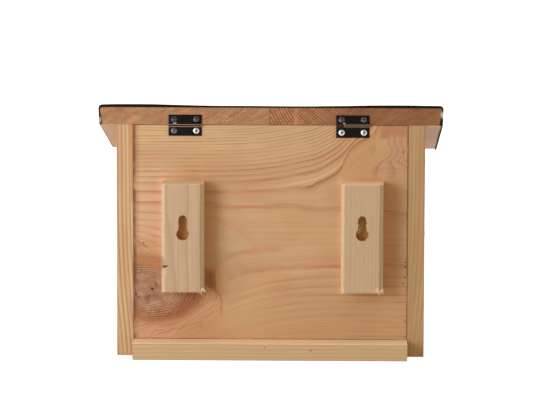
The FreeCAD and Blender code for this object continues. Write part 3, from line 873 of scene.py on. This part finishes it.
def markedPoints(name, places):  # points that carry the direction each piece faces
    mesh = bpy.data.meshes.new(name)
    mesh.from_pydata([point for point, out in places], [], [])
    aim = mesh.attributes.new("aim", "FLOAT_VECTOR", "POINT")
    aim.data.foreach_set("vector", [part for point, out in places for part in out])
    return mesh


def solidBoxes(node, turn):  # boxes of a node's separate solids, in the space that turn leads to
    shape = bmesh.new()
    shape.from_mesh(nodes[node].data)
    bmesh.ops.remove_doubles(shape, verts=shape.verts, dist=1e-7)
    shape.transform(turn)
    left = set(shape.verts)
    boxes = []
    while left:
        todo = [left.pop()]
        found = []
        while todo:
            one = todo.pop()
            found.append(one.co.copy())
            for edge in one.link_edges:
                near = edge.other_vert(one)
                if near in left:
                    left.remove(near)
                    todo.append(near)
        boxes.append((Vector(map(min, zip(*found))), Vector(map(max, zip(*found)))))
    shape.free()
    return sorted(boxes, key=lambda box: tuple(box[0]))


def headPlace(box, out, crown, place):  # where a fastener's head meets the surface
    low, high = box
    middle = (low + high) / 2
    reach = abs((high - low).dot(out)) / 2 - crown * mm
    return place @ (middle + out * reach), (place.to_3x3() @ out).normalized()


# fasteners: where each stretch of the outline ends, as a share of its rows, and where the thread runs
turnedLabels = ("Head", "Shank", "Length", "Neck", "Rim", "Crown", "Pitch", "Thread")
turnedEnds = {"tip": 0.07, "shank": 0.68, "neck": 0.76, "rim": 0.80}
threadRun = {"in": (0.05, 0.1), "out": (0.52, 0.46)}


def turnedShape(wire, size, rows, sides):  # a fastener in millimetres, turned about Z, head plane at 0
    grid = wire.node("GeometryNodeMeshGrid", None,
                     {"Size X": 1.0, "Size Y": 1.0, "Vertices X": rows, "Vertices Y": sides + 1})
    along, around, flat = split(wire.node("GeometryNodeInputPosition"))
    part = along + 0.5
    angle = around * (-2 * math.pi)
    ends = [0.0, *turnedEnds.values(), 1.0]
    tip, shank, neck, rim, crown = (part.ramp(start, end) for start, end in zip(ends, ends[1:]))
    height = (size["Shank"] * 2 * tip - size["Length"]
              + (size["Length"] - size["Shank"] * 2 - size["Neck"]) * shank
              + size["Neck"] * neck + size["Rim"] * rim + size["Crown"] * (1 - (1 - crown) * (1 - crown)))
    turn = height / size["Pitch"] - around
    ridge = (turn - turn.math("FLOOR") - 0.5).size() * 2
    threaded = part.ramp(*threadRun["in"]) * part.ramp(*threadRun["out"])
    radius = (size["Shank"] * tip + (size["Head"] - size["Shank"]) * neck - size["Head"] * crown
              + size["Thread"] * ridge * threaded)
    place = joined(radius * angle.math("COSINE"), radius * angle.math("SINE"), height)
    placed = grid.node("GeometryNodeSetPosition", None, {"Geometry": grid, "Position": place})
    return placed.node("GeometryNodeMergeByDistance", None, {"Geometry": placed, "Distance": 0.004})


def standing(wire, points, shape, tilt, seed, spread=0.0):  # the shape on every point, facing its own way
    aim = wire.node("GeometryNodeInputNamedAttribute", {"data_type": "FLOAT_VECTOR"}, {"Name": "aim"})
    facing = wire.node("FunctionNodeAlignRotationToVector", {"axis": "Z"}, {"Vector": aim})

    def chance(low, high, shift):
        return wire.node("FunctionNodeRandomValue", {"data_type": "FLOAT"},
                         {2: low, 3: high, 8: seed + shift}, 1)

    lean = joined(chance(-tilt, tilt, 0), chance(-tilt, tilt, 1), chance(0.0, math.tau, 2))
    spin = wire.node("FunctionNodeEulerToRotation", None, {"Euler": lean})
    turned = wire.node("FunctionNodeRotateRotation", {"rotation_space": "LOCAL"}, {0: facing, 1: spin})
    scale = chance(1.0 - spread, 1.0, 3) * mm
    return wire.node("GeometryNodeInstanceOnPoints", None, {
        "Points": points, "Instance": shape, "Rotation": turned, "Scale": joined(scale, scale, scale)})


# screws, in millimetres
hingeScrew = {"Head": 2.68, "Shank": 1.15, "Length": 12.0, "Neck": 1.75, "Rim": 0.12, "Crown": 0.78,
              "Pitch": 1.1, "Thread": 0.35, "Arm": 1.3, "Slot": 1.3, "Deep": 0.85, "rows": 120, "sides": 28}
woodScrew = {"Head": 3.8, "Shank": 1.5, "Length": 35.0, "Neck": 2.2, "Rim": 0.1, "Crown": 0.12, "Pitch": 1.9,
             "Thread": 0.5, "Arm": 2.3, "Slot": 0.95, "Deep": 1.6, "rows": 200, "sides": 20}
screwSeed = 11
screwTilt = math.radians(2.5)
screwSlip = {"left": -0.55, "right": 0.6}       # how far up the lower hinge screws sit from the solid ones
screwCrown = 0.9                                # how far a hinge screw's head stands out


def screwTree(name, material, rows, sides):
    tree, size = startTree(name, turnedLabels + ("Arm", "Slot", "Deep"))
    wire = size["Geometry"]
    blank = turnedShape(wire, size, rows, sides)
    top = size["Crown"] + size["Rim"]
    arms = []
    for long, wide in ((size["Arm"] * 2, size["Slot"]), (size["Slot"], size["Arm"] * 2)):
        arm = wire.node("GeometryNodeMeshCube", None, {"Size": joined(long, wide, size["Deep"] * 2)})
        # marks the slot faces for their painted shade
        arm = arm.node("GeometryNodeStoreNamedAttribute", {"data_type": "FLOAT", "domain": "FACE"},
                       {"Geometry": arm, "Name": "recess", "Value": 1.0})
        arms.append(arm.node("GeometryNodeTransform", None,
                             {"Geometry": arm, "Translation": joined(0.0, 0.0, top)}))
    cut = wire.node("GeometryNodeMeshBoolean", {"operation": "DIFFERENCE", "solver": "EXACT"},
                    {0: blank, 1: arms})
    closeTree(standing(wire, wire, cut, screwTilt, screwSeed), material)
    return tree


def makeScrews():
    still = Matrix.Identity(4)
    across, back = Vector((1.0, 0.0, 0.0)), Vector((0.0, 1.0, 0.0))
    kinds = {"hingeFixedScrews": ("box", hingeScrew, zinc), "hingeLidScrews": ("lid", hingeScrew, darkReflectionZinc),
             "woodScrews": ("box", woodScrew, zinc)}
    places = {name: [] for name in kinds}
    stoodFor = {name: [] for name in kinds}

    def add(group, node, out, crown, place, slip=0.0):
        moved = Vector((0.0, 0.0, slip)) * mm
        for low, high in solidBoxes(node, place.inverted()):
            places[group].append(headPlace((low + moved, high + moved), out, crown, place))
        stoodFor[group].append(node)

    for side, sign in (("left", -1), ("right", 1)):
        add("hingeFixedScrews", side + "_hinge_fixed_screws", back, screwCrown, still, screwSlip[side])
        add("hingeLidScrews", side + "_hinge_lid_screws", back, screwCrown, lidPlace)
        add("woodScrews", side + "_batten_screws", -back, 0.0, still)
        add("woodScrews", side + "_back_screws", across * sign, 0.0, still)
        add("woodScrews", side + "_floor_screws", across * sign, 0.0, still)
    for name, (body, size, metal) in kinds.items():
        tree = screwTree(name, metal, size["rows"], size["sides"])
        mesh = grown(name, markedPoints(name, places[name]), tree, size)
        addPiece(name, smoothed(mesh), body, "zinc", *stoodFor[name])


# tacks, in millimetres
tackSize = {"Head": 2.5, "Shank": 0.8, "Length": 12.0, "Neck": 0.05, "Rim": 0.25, "Crown": 0.45, "Pitch": 1.0,
            "Thread": 0.0, "rows": 60, "sides": 20}
tackHead = 0.7
tackFlap = 151.9        # side of the solid felt's flaps, which the solid heads stand on
tackSeed = 23
tackTilt = math.radians(3.0)


def makeTacks():
    tree, size = startTree("tacks", turnedLabels)
    wire = size["Geometry"]
    shape = turnedShape(wire, size, tackSize["rows"], tackSize["sides"])
    closeTree(standing(wire, wire, shape, tackTilt, tackSeed), zinc)
    places = []
    for low, high in solidBoxes("felt_tacks", lidPlace.inverted()):
        middle = (low + high) / 2
        out, sunk = Vector((0.0, -1.0, 0.0)), Vector()
        if (high - low).x > (high - low).y:
            out = Vector((math.copysign(1.0, middle.x), 0.0, 0.0))
            sunk = out * (feltLean(middle.z / mm) + tackFlap - feltSheet["half"]) * mm
        places.append(headPlace((low - sunk, high - sunk), out, tackHead, lidPlace))
    mesh = grown("feltTacks", markedPoints("feltTacks", places), tree, tackSize)
    addPiece("feltTacks", smoothed(mesh), "lid", "zinc", "felt_tacks")


# splinters left by the saw on the battens' lower ends, and fibres in the keyholes, in millimetres
tuftSize = {"Length": 4.6, "Thick": 0.4, "Bend": 2.6, "tilt": 60.0}
fringeSize = {"Length": 1.7, "Thick": 0.4, "Bend": 0.5, "tilt": 35.0}
fraySize = {"Length": 0.8, "Thick": 0.25, "Bend": 0.3, "tilt": 35.0}
strandSize = {"Length": 9.0, "Thick": 0.36, "Bend": 0.9, "tilt": 6.0}
splinterLook = {
    **tints(pale=(255, 238, 204), dull=(232, 202, 160)), "seed": 31, "tuft": 18, "fringe": 34, "fray": 9,
    "spread": 0.5, "tuftAim": (-0.75, 0.5, -0.2), "fringeAim": (0.0, 0.5, -0.8), "fraySink": 0.4,
    "frayOut": 0.4,
    # first and last root of a tuft, and where a fringe starts, from the batten's lower outer corner
    "tuftRun": ((0.8, -1.2, 3.7), (4.0, -1.2, 0.3)), "fringeFrom": (0.0, -0.9, 0.4),
    # frayed arcs of a keyhole's slot and round, in degrees: start and sweep
    "slotArc": (0, 180), "roundArc": (145, 250),
    # strands across the left keyhole, from its middle: across, up and the way each points
    "strands": ((3.2, 3.6, (-0.55, 0.03, 0.83)), (3.4, 6.4, (-0.5, 0.03, 0.86)),
                (4.6, 1.0, (-0.72, 0.03, 0.69))), "strandSink": 0.7,
    # two loose splinters of the left batten: across, how deep and the way each points
    "loose": ((-80.2, 0.4, (0.0, 0.4, -0.9)), (-97.4, 2.0, (-0.5, 0.4, -0.7))), "looseUp": 0.8,
}


def splinterMaterial():
    made, wire = newMaterial("splinterWood")
    x, y, z = objectSpace(wire)
    fibre = blur(x, 2, y, 2, z, 3.0, 0.6)
    colour = fibre.smooth(0.3, 0.7).pick(splinterLook["dull"], splinterLook["pale"])
    return closeMaterial(made, {"Base Color": colour, "Roughness": 0.6 + fibre * 0.2,
                                "Normal": bumped(fibre, 0.3, 0.1)})


def splinterTree(name, material, tilt):  # bent slivers that taper to a point
    look = splinterLook
    tree, size = startTree(name, ("Length", "Thick", "Bend"))
    wire = size["Geometry"]
    sliver = wire.node("GeometryNodeMeshCone", None, {
        "Vertices": 5, "Side Segments": 8, "Radius Top": size["Thick"] * 0.2, "Radius Bottom": size["Thick"],
        "Depth": size["Length"]})
    x, y, z = split(wire.node("GeometryNodeInputPosition"))
    part = z / size["Length"]
    bent = joined(x + part * part * size["Bend"], y * 0.6, z)
    bent = sliver.node("GeometryNodeSetPosition", None, {"Geometry": sliver, "Position": bent})
    closeTree(standing(wire, wire, bent, math.radians(tilt), look["seed"], look["spread"]), material)
    return tree


def splinterPlaces(side):  # roots and aims of a batten's tuft, its fringe and its keyhole's fray
    look = splinterLook
    low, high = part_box(side + "_batten")
    middle = (low.x + high.x) / 2
    corner = Vector((low.x, high.y, low.z))
    first, last = (Vector(place) for place in look["tuftRun"])
    tuft, fringe, fray = [], [], []
    for step in range(look["tuft"]):        # at one lower corner
        part = step / look["tuft"]
        tuft.append((corner + first.lerp(last, part) * mm, look["tuftAim"]))
    for step in range(look["fringe"]):      # along the lower end
        part = (step + 0.5) / look["fringe"]
        along = Vector(((high.x - low.x) * part, 0.0, 0.0))
        fringe.append((corner + along + Vector(look["fringeFrom"]) * mm, look["fringeAim"]))
    for step in range(look["fray"]):        # round the slot's end and the round hole
        part = step / (look["fray"] - 1)
        for radius, up, (start, sweep) in ((keyhole["slot"], keyhole["slotEnd"], look["slotArc"]),
                                           (keyhole["round"], keyhole["z"], look["roundArc"])):
            turn = math.radians(start + sweep * part)
            across, rise = math.cos(turn), math.sin(turn)
            root = (middle / mm + radius * across, high.y / mm - look["fraySink"], up + radius * rise)
            fray.append((Vector(root) * mm, (-across, look["frayOut"], -rise)))
    return tuft, fringe, fray


def makeSplinters():
    look = splinterLook
    wood = splinterMaterial()
    sides = zip(splinterPlaces("left"), splinterPlaces("right"))
    tufts, fringe, fray = (left + right for left, right in sides)
    low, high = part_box("left_batten")
    centre = Vector(((low.x + high.x) / 2, high.y, keyhole["z"] * mm))
    strands = [(centre + Vector((x, -look["strandSink"], z)) * mm, aim) for x, z, aim in look["strands"]]
    for x, deep, aim in look["loose"]:
        tufts.append((Vector((x * mm, high.y - deep * mm, low.z + look["looseUp"] * mm)), aim))
    for name, places, size in (("battenTufts", tufts, tuftSize), ("battenFringe", fringe, fringeSize),
                               ("keyholeFray", fray, fraySize), ("keyholeStrands", strands, strandSize)):
        mesh = grown(name, markedPoints(name, places), splinterTree(name, wood, size["tilt"]), size)
        addPiece(name, smoothed(mesh, 60.0), "box", "batten_pine")


# felt: one sheet over the lid, bent down at the sides and the front, in millimetres in the lid's own space
feltSheet = {"half": 152.6, "front": -188.4, "rear": 0.5, "top": 16.4, "thick": 1.36, "bend": 3.4,
             "bottom": 0.6, "longer": 1.4, "flapThick": 0.6, "swellBack": 26.0, "hug": 0.9, "hugFrom": 14.5,
             "hugOver": 15.0, "wave": 0.25, "waveLong": 38.0, "waveDrop": 20.0, "columnHalf": 144,
             "columnStep": 4, "rowStep": 3.3,
             # frayed rear corners: the height, the extra thickness there, and the extra all along the flap
             "frayRight": (4.5, 1.3, 0.0), "frayLeft": (9.0, 0.6, 0.8), "frayBack": 3.0, "frayTall": 4.5,
             # how far the rear edge swells, by place across
             "swells": ((-153, 0.8), (-136, 0.9), (-121, 1.1), (-107, 1.15), (-93, 1.1), (-79, 0.8),
                        (-65, 0.4), (-50, 0.25), (-35, 0.0), (10, 0.05), (36, 0.1), (50, 0.2), (63, 0.4),
                        (77, 0.6), (91, 0.95), (105, 1.35), (120, 1.3), (139, 1.2), (153, 0.8))}


def bentRun(flatEnd, edge, bendSteps=8, flapSteps=6):  # (place, drop) pairs, round the bend and down the flap
    sheet = feltSheet
    run = [(flatEnd, 0.0)]
    for step in range(1, bendSteps + 1):
        turn = math.pi / 2 * step / bendSteps
        run.append((edge - sheet["bend"] * (1 - math.sin(turn)), sheet["bend"] * (1 - math.cos(turn))))
    deep = sheet["top"] - sheet["bottom"]
    for step in range(1, flapSteps + 1):
        run.append((edge, sheet["bend"] + (deep - sheet["bend"]) * step / flapSteps))
    return run


def feltLean(z):  # the side flaps lean in a little towards the wood
    return feltSheet["hug"] * max(0.0, (feltSheet["hugFrom"] - z) / feltSheet["hugOver"])


def feltSwell(x):
    for (nearX, near), (farX, far) in zip(feltSheet["swells"], feltSheet["swells"][1:]):
        if x <= farX:
            return near + (far - near) * (x - nearX) / (farX - nearX)
    return 0.0


def feltPoint(x, dropX, y, dropY):  # place and thickness
    sheet = feltSheet
    deep = sheet["top"] - sheet["bottom"]
    drop = min(dropX + dropY, deep)
    flapShare = drop / deep
    if x < 0:
        drop += sheet["longer"] * max(0.0, dropX - sheet["bend"]) / (deep - sheet["bend"])
    back = sheet["rear"] - y
    up = sheet["top"] - drop
    lift = feltSwell(x) * math.exp(-back / sheet["swellBack"]) * (1 - flapShare)
    swing = noise.noise(Vector((x / sheet["waveLong"], y / sheet["waveLong"], drop / sheet["waveDrop"])))
    ripple = sheet["wave"] * (0.5 + 0.5 * swing)
    if dropX > 0:
        side = 1 if x > 0 else -1
        x += side * (ripple * 0.6 * flapShare - feltLean(up))
    thick = sheet["thick"] + lift + (sheet["flapThick"] - sheet["thick"]) * min(1.0, drop / sheet["bend"])
    if dropX > sheet["bend"]:
        middle, more, whole = sheet["frayRight" if x > 0 else "frayLeft"]
        swollen = max(0.0, 1 - ((up - middle) / sheet["frayTall"]) ** 2)
        thick += more * math.exp(-back / sheet["frayBack"]) * swollen + whole
    return Vector((x, y, up + lift + ripple * (1 - flapShare))) * mm, thick


def makeFelt():
    sheet = feltSheet
    side = bentRun(sheet["half"] - sheet["bend"], sheet["half"])
    flatX = [(x, 0.0) for x in range(-sheet["columnHalf"], sheet["columnHalf"] + 1, sheet["columnStep"])]
    across = [(-x, drop) for x, drop in reversed(side)] + flatX + side
    flatRows = int((sheet["rear"] - sheet["front"]) / sheet["rowStep"]) - 1
    flatY = [(sheet["rear"] - step * sheet["rowStep"], 0.0) for step in range(flatRows)]
    front = bentRun(-sheet["front"] - sheet["bend"], -sheet["front"])
    alongY = flatY + [(-y, drop) for y, drop in front]
    shape = bmesh.new()
    share = shape.verts.layers.deform.verify()
    thickest = sheet["thick"] + max(swell for x, swell in sheet["swells"])

    def corner(x, dropX, y, dropY):
        place, thick = feltPoint(x, dropX, y, dropY)
        made = shape.verts.new(place)
        made[share][0] = thick / thickest
        return made

    rows = [[corner(x, dropX, y, dropY) for x, dropX in across] for y, dropY in alongY]
    onFlap = sheet["bend"] + 0.01
    for j, (y, dropY) in enumerate(alongY[:-1]):
        for i, (x, dropX) in enumerate(across[:-1]):
            flapX = max(dropX, across[i + 1][1]) > onFlap
            flapY = alongY[j + 1][1] > onFlap
            if not (flapX and flapY):
                shape.faces.new((rows[j][i], rows[j + 1][i], rows[j + 1][i + 1], rows[j][i + 1]))
    bmesh.ops.remove_doubles(shape, verts=shape.verts, dist=0.02 * mm)
    bmesh.ops.dissolve_degenerate(shape, edges=shape.edges, dist=0.005 * mm)
    bmesh.ops.delete(shape, geom=[one for one in shape.verts if not one.link_faces], context="VERTS")
    shape.transform(lidPlace)
    mesh = meshFrom("roofFelt", shape)
    mesh.materials.append(felt)
    mesh.materials.append(feltBack)
    carrier = linked("roofFelt", mesh)
    carrier.vertex_groups.new(name="share")
    thick = carrier.modifiers.new("thick", "SOLIDIFY")
    thick.vertex_group = "share"
    thick.thickness = thickest * mm
    thick.offset = -1.0
    thick.material_offset = 1       # the pale sanded back
    addPiece("roofFelt", smoothed(settled(carrier), 50.0), "lid", "roof_felt", "roof_felt")


# lid board: its rear corners are sawn in at the bottom, in millimetres in the lid's own space
boardShape = {"half": 151.7, "lean": 0.7, "thick": 15.0, "long": 187.0, "round": 2.4, "cut": 2.35,
              "cutBack": 10.0, "cutSteps": (0.0, 1.0, 2.5, 4.0, 6.0, 8.0, 10.0), "step": 19.0, "edge": 0.2,
              "weld": 0.005}


def boardRing(back):  # outline of the board at one place along it
    board = boardShape
    gone = max(0.0, 1 - back / board["cutBack"])
    low = board["half"] - board["lean"] - board["cut"] * gone * gone * (3 - 2 * gone)
    front = max(0.0, back - board["long"] + board["round"])
    top = board["thick"] - board["round"] + math.sqrt(board["round"] ** 2 - front ** 2)
    right = [(low, 0.0)]
    for step in range(7):
        turn = math.pi / 2 * step / 6
        right.append((board["half"] - board["round"] * (1 - math.cos(turn)),
                      top - board["round"] * (1 - math.sin(turn))))
    return right + [(-x, z) for x, z in reversed(right)]


def makeBoard():
    board = boardShape
    steps = list(board["cutSteps"]) + [board["cutBack"] + board["step"] * step for step in range(1, 10)]
    steps += [board["long"] - board["round"] * (1 - math.sin(math.pi / 12 * step)) for step in range(1, 6)]
    steps = sorted(step for step in steps if step <= board["long"])
    shape = bmesh.new()
    rings = [[shape.verts.new(Vector((x, -back, z)) * mm) for x, z in boardRing(back)] for back in steps]
    for near, far in zip(rings, rings[1:]):
        for i in range(len(near)):
            shape.faces.new((near[i - 1], near[i], far[i], far[i - 1]))
    shape.faces.new(rings[0])
    shape.faces.new(rings[-1])
    bmesh.ops.recalc_face_normals(shape, faces=shape.faces)
    shape.transform(lidPlace)
    mesh = meshFrom("roofBoard", shape)
    mesh.materials.append(lidPine)
    carrier = linked("roofBoard", mesh)
    eased = carrier.modifiers.new("edges", "BEVEL")
    eased.width = board["edge"] * mm
    eased.limit_method = "ANGLE"
    eased.angle_limit = math.radians(40.0)
    welded = carrier.modifiers.new("corners", "WELD")
    welded.merge_threshold = board["weld"] * mm
    addPiece("roofBoard", smoothed(settled(carrier)), "lid", "roof_pine", "roof_board")


# hinge leaves: sheet rolled round the pin, in millimetres about the pin
hingeSheet = {"wide": 29.4, "thick": 0.9, "reach": 9.5, "longReach": 10.7, "plate": -1.45, "plateEnd": 6.0,
              "notch": 2.0, "neck": (-1.41, 1.2), "roll": 1.25, "rollEnd": 108.0, "rollSteps": 26,
              "gap": 0.25, "edge": 0.16}


def rolledRun(reach):  # (out from the wood, up) along the sheet's middle, from the free edge into the knuckle
    sheet = hingeSheet
    run = [(sheet["plate"], up) for up in (reach, sheet["plateEnd"], sheet["notch"])] + [sheet["neck"]]
    for step in range(sheet["rollSteps"] + 1):
        turn = math.radians(180 + (180 + sheet["rollEnd"]) * step / sheet["rollSteps"])
        run.append((sheet["roll"] * math.cos(turn), sheet["roll"] * math.sin(turn)))
    return run


def makeLeaf(name, knuckles, flip, place, reach):
    sheet = hingeSheet
    half, quarter, gap = sheet["wide"] / 2, sheet["wide"] / 4, sheet["gap"] / 2
    marks = [-half, -quarter - gap, -quarter + gap, quarter - gap, quarter + gap, half]
    run = rolledRun(reach)
    shape = bmesh.new()
    rows = [[shape.verts.new(Vector((x, out, up * flip)) * mm) for x in marks] for out, up in run]
    for j in range(len(run) - 1):
        for i in range(len(marks) - 1):
            onPlate = run[j + 1][1] >= sheet["notch"] and j < 2
            if onPlate or i in knuckles:
                shape.faces.new((rows[j][i], rows[j][i + 1], rows[j + 1][i + 1], rows[j + 1][i]))
    bmesh.ops.delete(shape, geom=[one for one in shape.verts if not one.link_faces], context="VERTS")
    bmesh.ops.recalc_face_normals(shape, faces=shape.faces)
    carrier = linked(name, meshFrom(name, shape))
    thick = carrier.modifiers.new("thick", "SOLIDIFY")
    thick.thickness = sheet["thick"] * mm
    thick.offset = 0.0
    eased = carrier.modifiers.new("edges", "BEVEL")
    eased.width = sheet["edge"] * mm
    eased.segments = 2
    eased.limit_method = "ANGLE"
    eased.angle_limit = math.radians(50.0)
    mesh = settled(carrier)
    mesh.transform(place)
    mesh.materials.append(blackHinge)
    return smoothed(mesh, 40.0)


def makeHinges():
    joint = next(one for one in frame["joints"] if one["name"] == "lid_hinge")
    axis = Vector(joint["pos_m"])
    for side in ("left", "right"):
        low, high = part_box(side + "_hinge_pin")
        still = Matrix.Translation(Vector(((low.x + high.x) / 2, axis.y, axis.z)))
        tilted = still @ Matrix.Rotation(lidSlope, 4, "X")
        reach = hingeSheet["longReach" if side == "left" else "reach"]
        fixed = makeLeaf(side + "HingeFixedLeaf", (2,), -1, still, reach)
        addPiece(side + "HingeFixedLeaf", fixed, "box", "black_hinge", side + "_hinge_fixed_leaf")
        moving = makeLeaf(side + "HingeLidLeaf", (0, 4), 1, tilted, hingeSheet["reach"])
        addPiece(side + "HingeLidLeaf", moving, "lid", "black_hinge", side + "_hinge_lid_leaf")


makeBoard()
makeFelt()
makeHinges()
makeScrews()
makeTacks()
makeSplinters()
print("pieces made")

# camera and light
cameraLook = {"at": (-0.0546, 3.095, 0.5108), "yaw": -0.0169, "pitch": 0.1247, "roll": -0.0029,
              "focalPixels": 3414.5, "imageWidth": 550, "sensor": 36.0}


def makeCamera():
    look = cameraLook
    data = bpy.data.cameras.new("viewCamera")
    data.sensor_width = look["sensor"]
    data.lens = look["focalPixels"] / look["imageWidth"] * look["sensor"]
    made = linked("viewCamera", data)
    yaw, pitch, roll = look["yaw"], look["pitch"], look["roll"]
    ahead = Vector((-math.sin(yaw) * math.cos(pitch), -math.cos(yaw) * math.cos(pitch), -math.sin(pitch)))
    level = Vector((-math.cos(yaw), math.sin(yaw), 0.0))
    upright = level.cross(ahead)
    right = math.cos(roll) * level - math.sin(roll) * upright
    up = math.sin(roll) * level + math.cos(roll) * upright
    turn = Matrix((right, up, -ahead)).transposed()
    made.matrix_world = Matrix.Translation(look["at"]) @ turn.to_4x4()
    bpy.context.scene.camera = made


lightLook = {"aside": 38.0, "above": 12.0, "far": 1.4, "size": 0.68, "level": 0.342, "side": 0.14,
             "sky": 0.84, "keyTint": (0.94, 1.05, 1.2), "roomTint": (1.06, 0.96, 0.82, 1.0),
             "target": (0.0, 0.095, 0.11)}


def makeLight():
    look = lightLook
    aside, above = math.radians(look["aside"]), math.radians(look["above"])
    out = Vector((math.sin(aside) * math.cos(above), math.cos(aside) * math.cos(above), math.sin(above)))
    data = bpy.data.lights.new("softKey", "AREA")
    data.shape = "DISK"
    data.size = look["size"]
    data.color = look["keyTint"]
    data.energy = look["level"] * math.pi ** 2 * look["far"] ** 2 / out.y
    made = linked("softKey", data)
    made.location = Vector(look["target"]) + out * look["far"]
    made.rotation_euler = out.to_track_quat("Z", "Y").to_euler()


def seenRay(wire):  # 1 for what the camera sees, straight, mirrored or through glass
    path = wire.node("ShaderNodeLightPath", out="Is Camera Ray")
    return path.over(path.other("Is Glossy Ray")).over(path.other("Is Transmission Ray"))


def makeWorld():
    world = bpy.data.worlds.new("paleRoom")
    world.use_nodes = True
    world.node_tree.nodes.clear()
    wire = Wire(world.node_tree)
    toward = split(wire.node("ShaderNodeTexCoord", out="Generated"))[2]
    soft = lightLook["side"] + lightLook["sky"] * toward.over(0.0)
    seen = seenRay(wire)
    strength = seen + soft * (1 - seen)
    shade = seen.pick(lightLook["roomTint"], (1.0, 1.0, 1.0, 1.0))
    shader = wire.node("ShaderNodeBackground", None, {"Color": shade, "Strength": strength})
    wire.node("ShaderNodeOutputWorld", None, {"Surface": shader})
    bpy.context.scene.world = world


floorStage = {"half": 40.0, "below": 0.0003, "glow": 0.75, "white": 0.85}


def makeFloor():
    half, low = floorStage["half"], -floorStage["below"]
    mesh = bpy.data.meshes.new("paleFloor")
    corners = [(-half, -half, low), (half, -half, low), (half, half, low), (-half, half, low)]
    mesh.from_pydata(corners, [], [(0, 1, 2, 3)])
    material, wire = newMaterial("paleFloor")
    white = (floorStage["white"],) * 3 + (1.0,)
    diffuse = wire.node("ShaderNodeBsdfDiffuse", None, {"Color": white})
    glow = wire.node("ShaderNodeEmission", None, {"Strength": seenRay(wire) * floorStage["glow"]})
    both = wire.node("ShaderNodeAddShader", None, {0: diffuse, 1: glow})
    wire.node("ShaderNodeOutputMaterial", None, {"Surface": both})
    mesh.materials.append(material)
    made = linked("paleFloor", mesh)


makeCamera()
makeLight()
makeWorld()
makeFloor()
bpy.context.scene.view_settings.view_transform = "Standard"
print("camera, light and floor made")
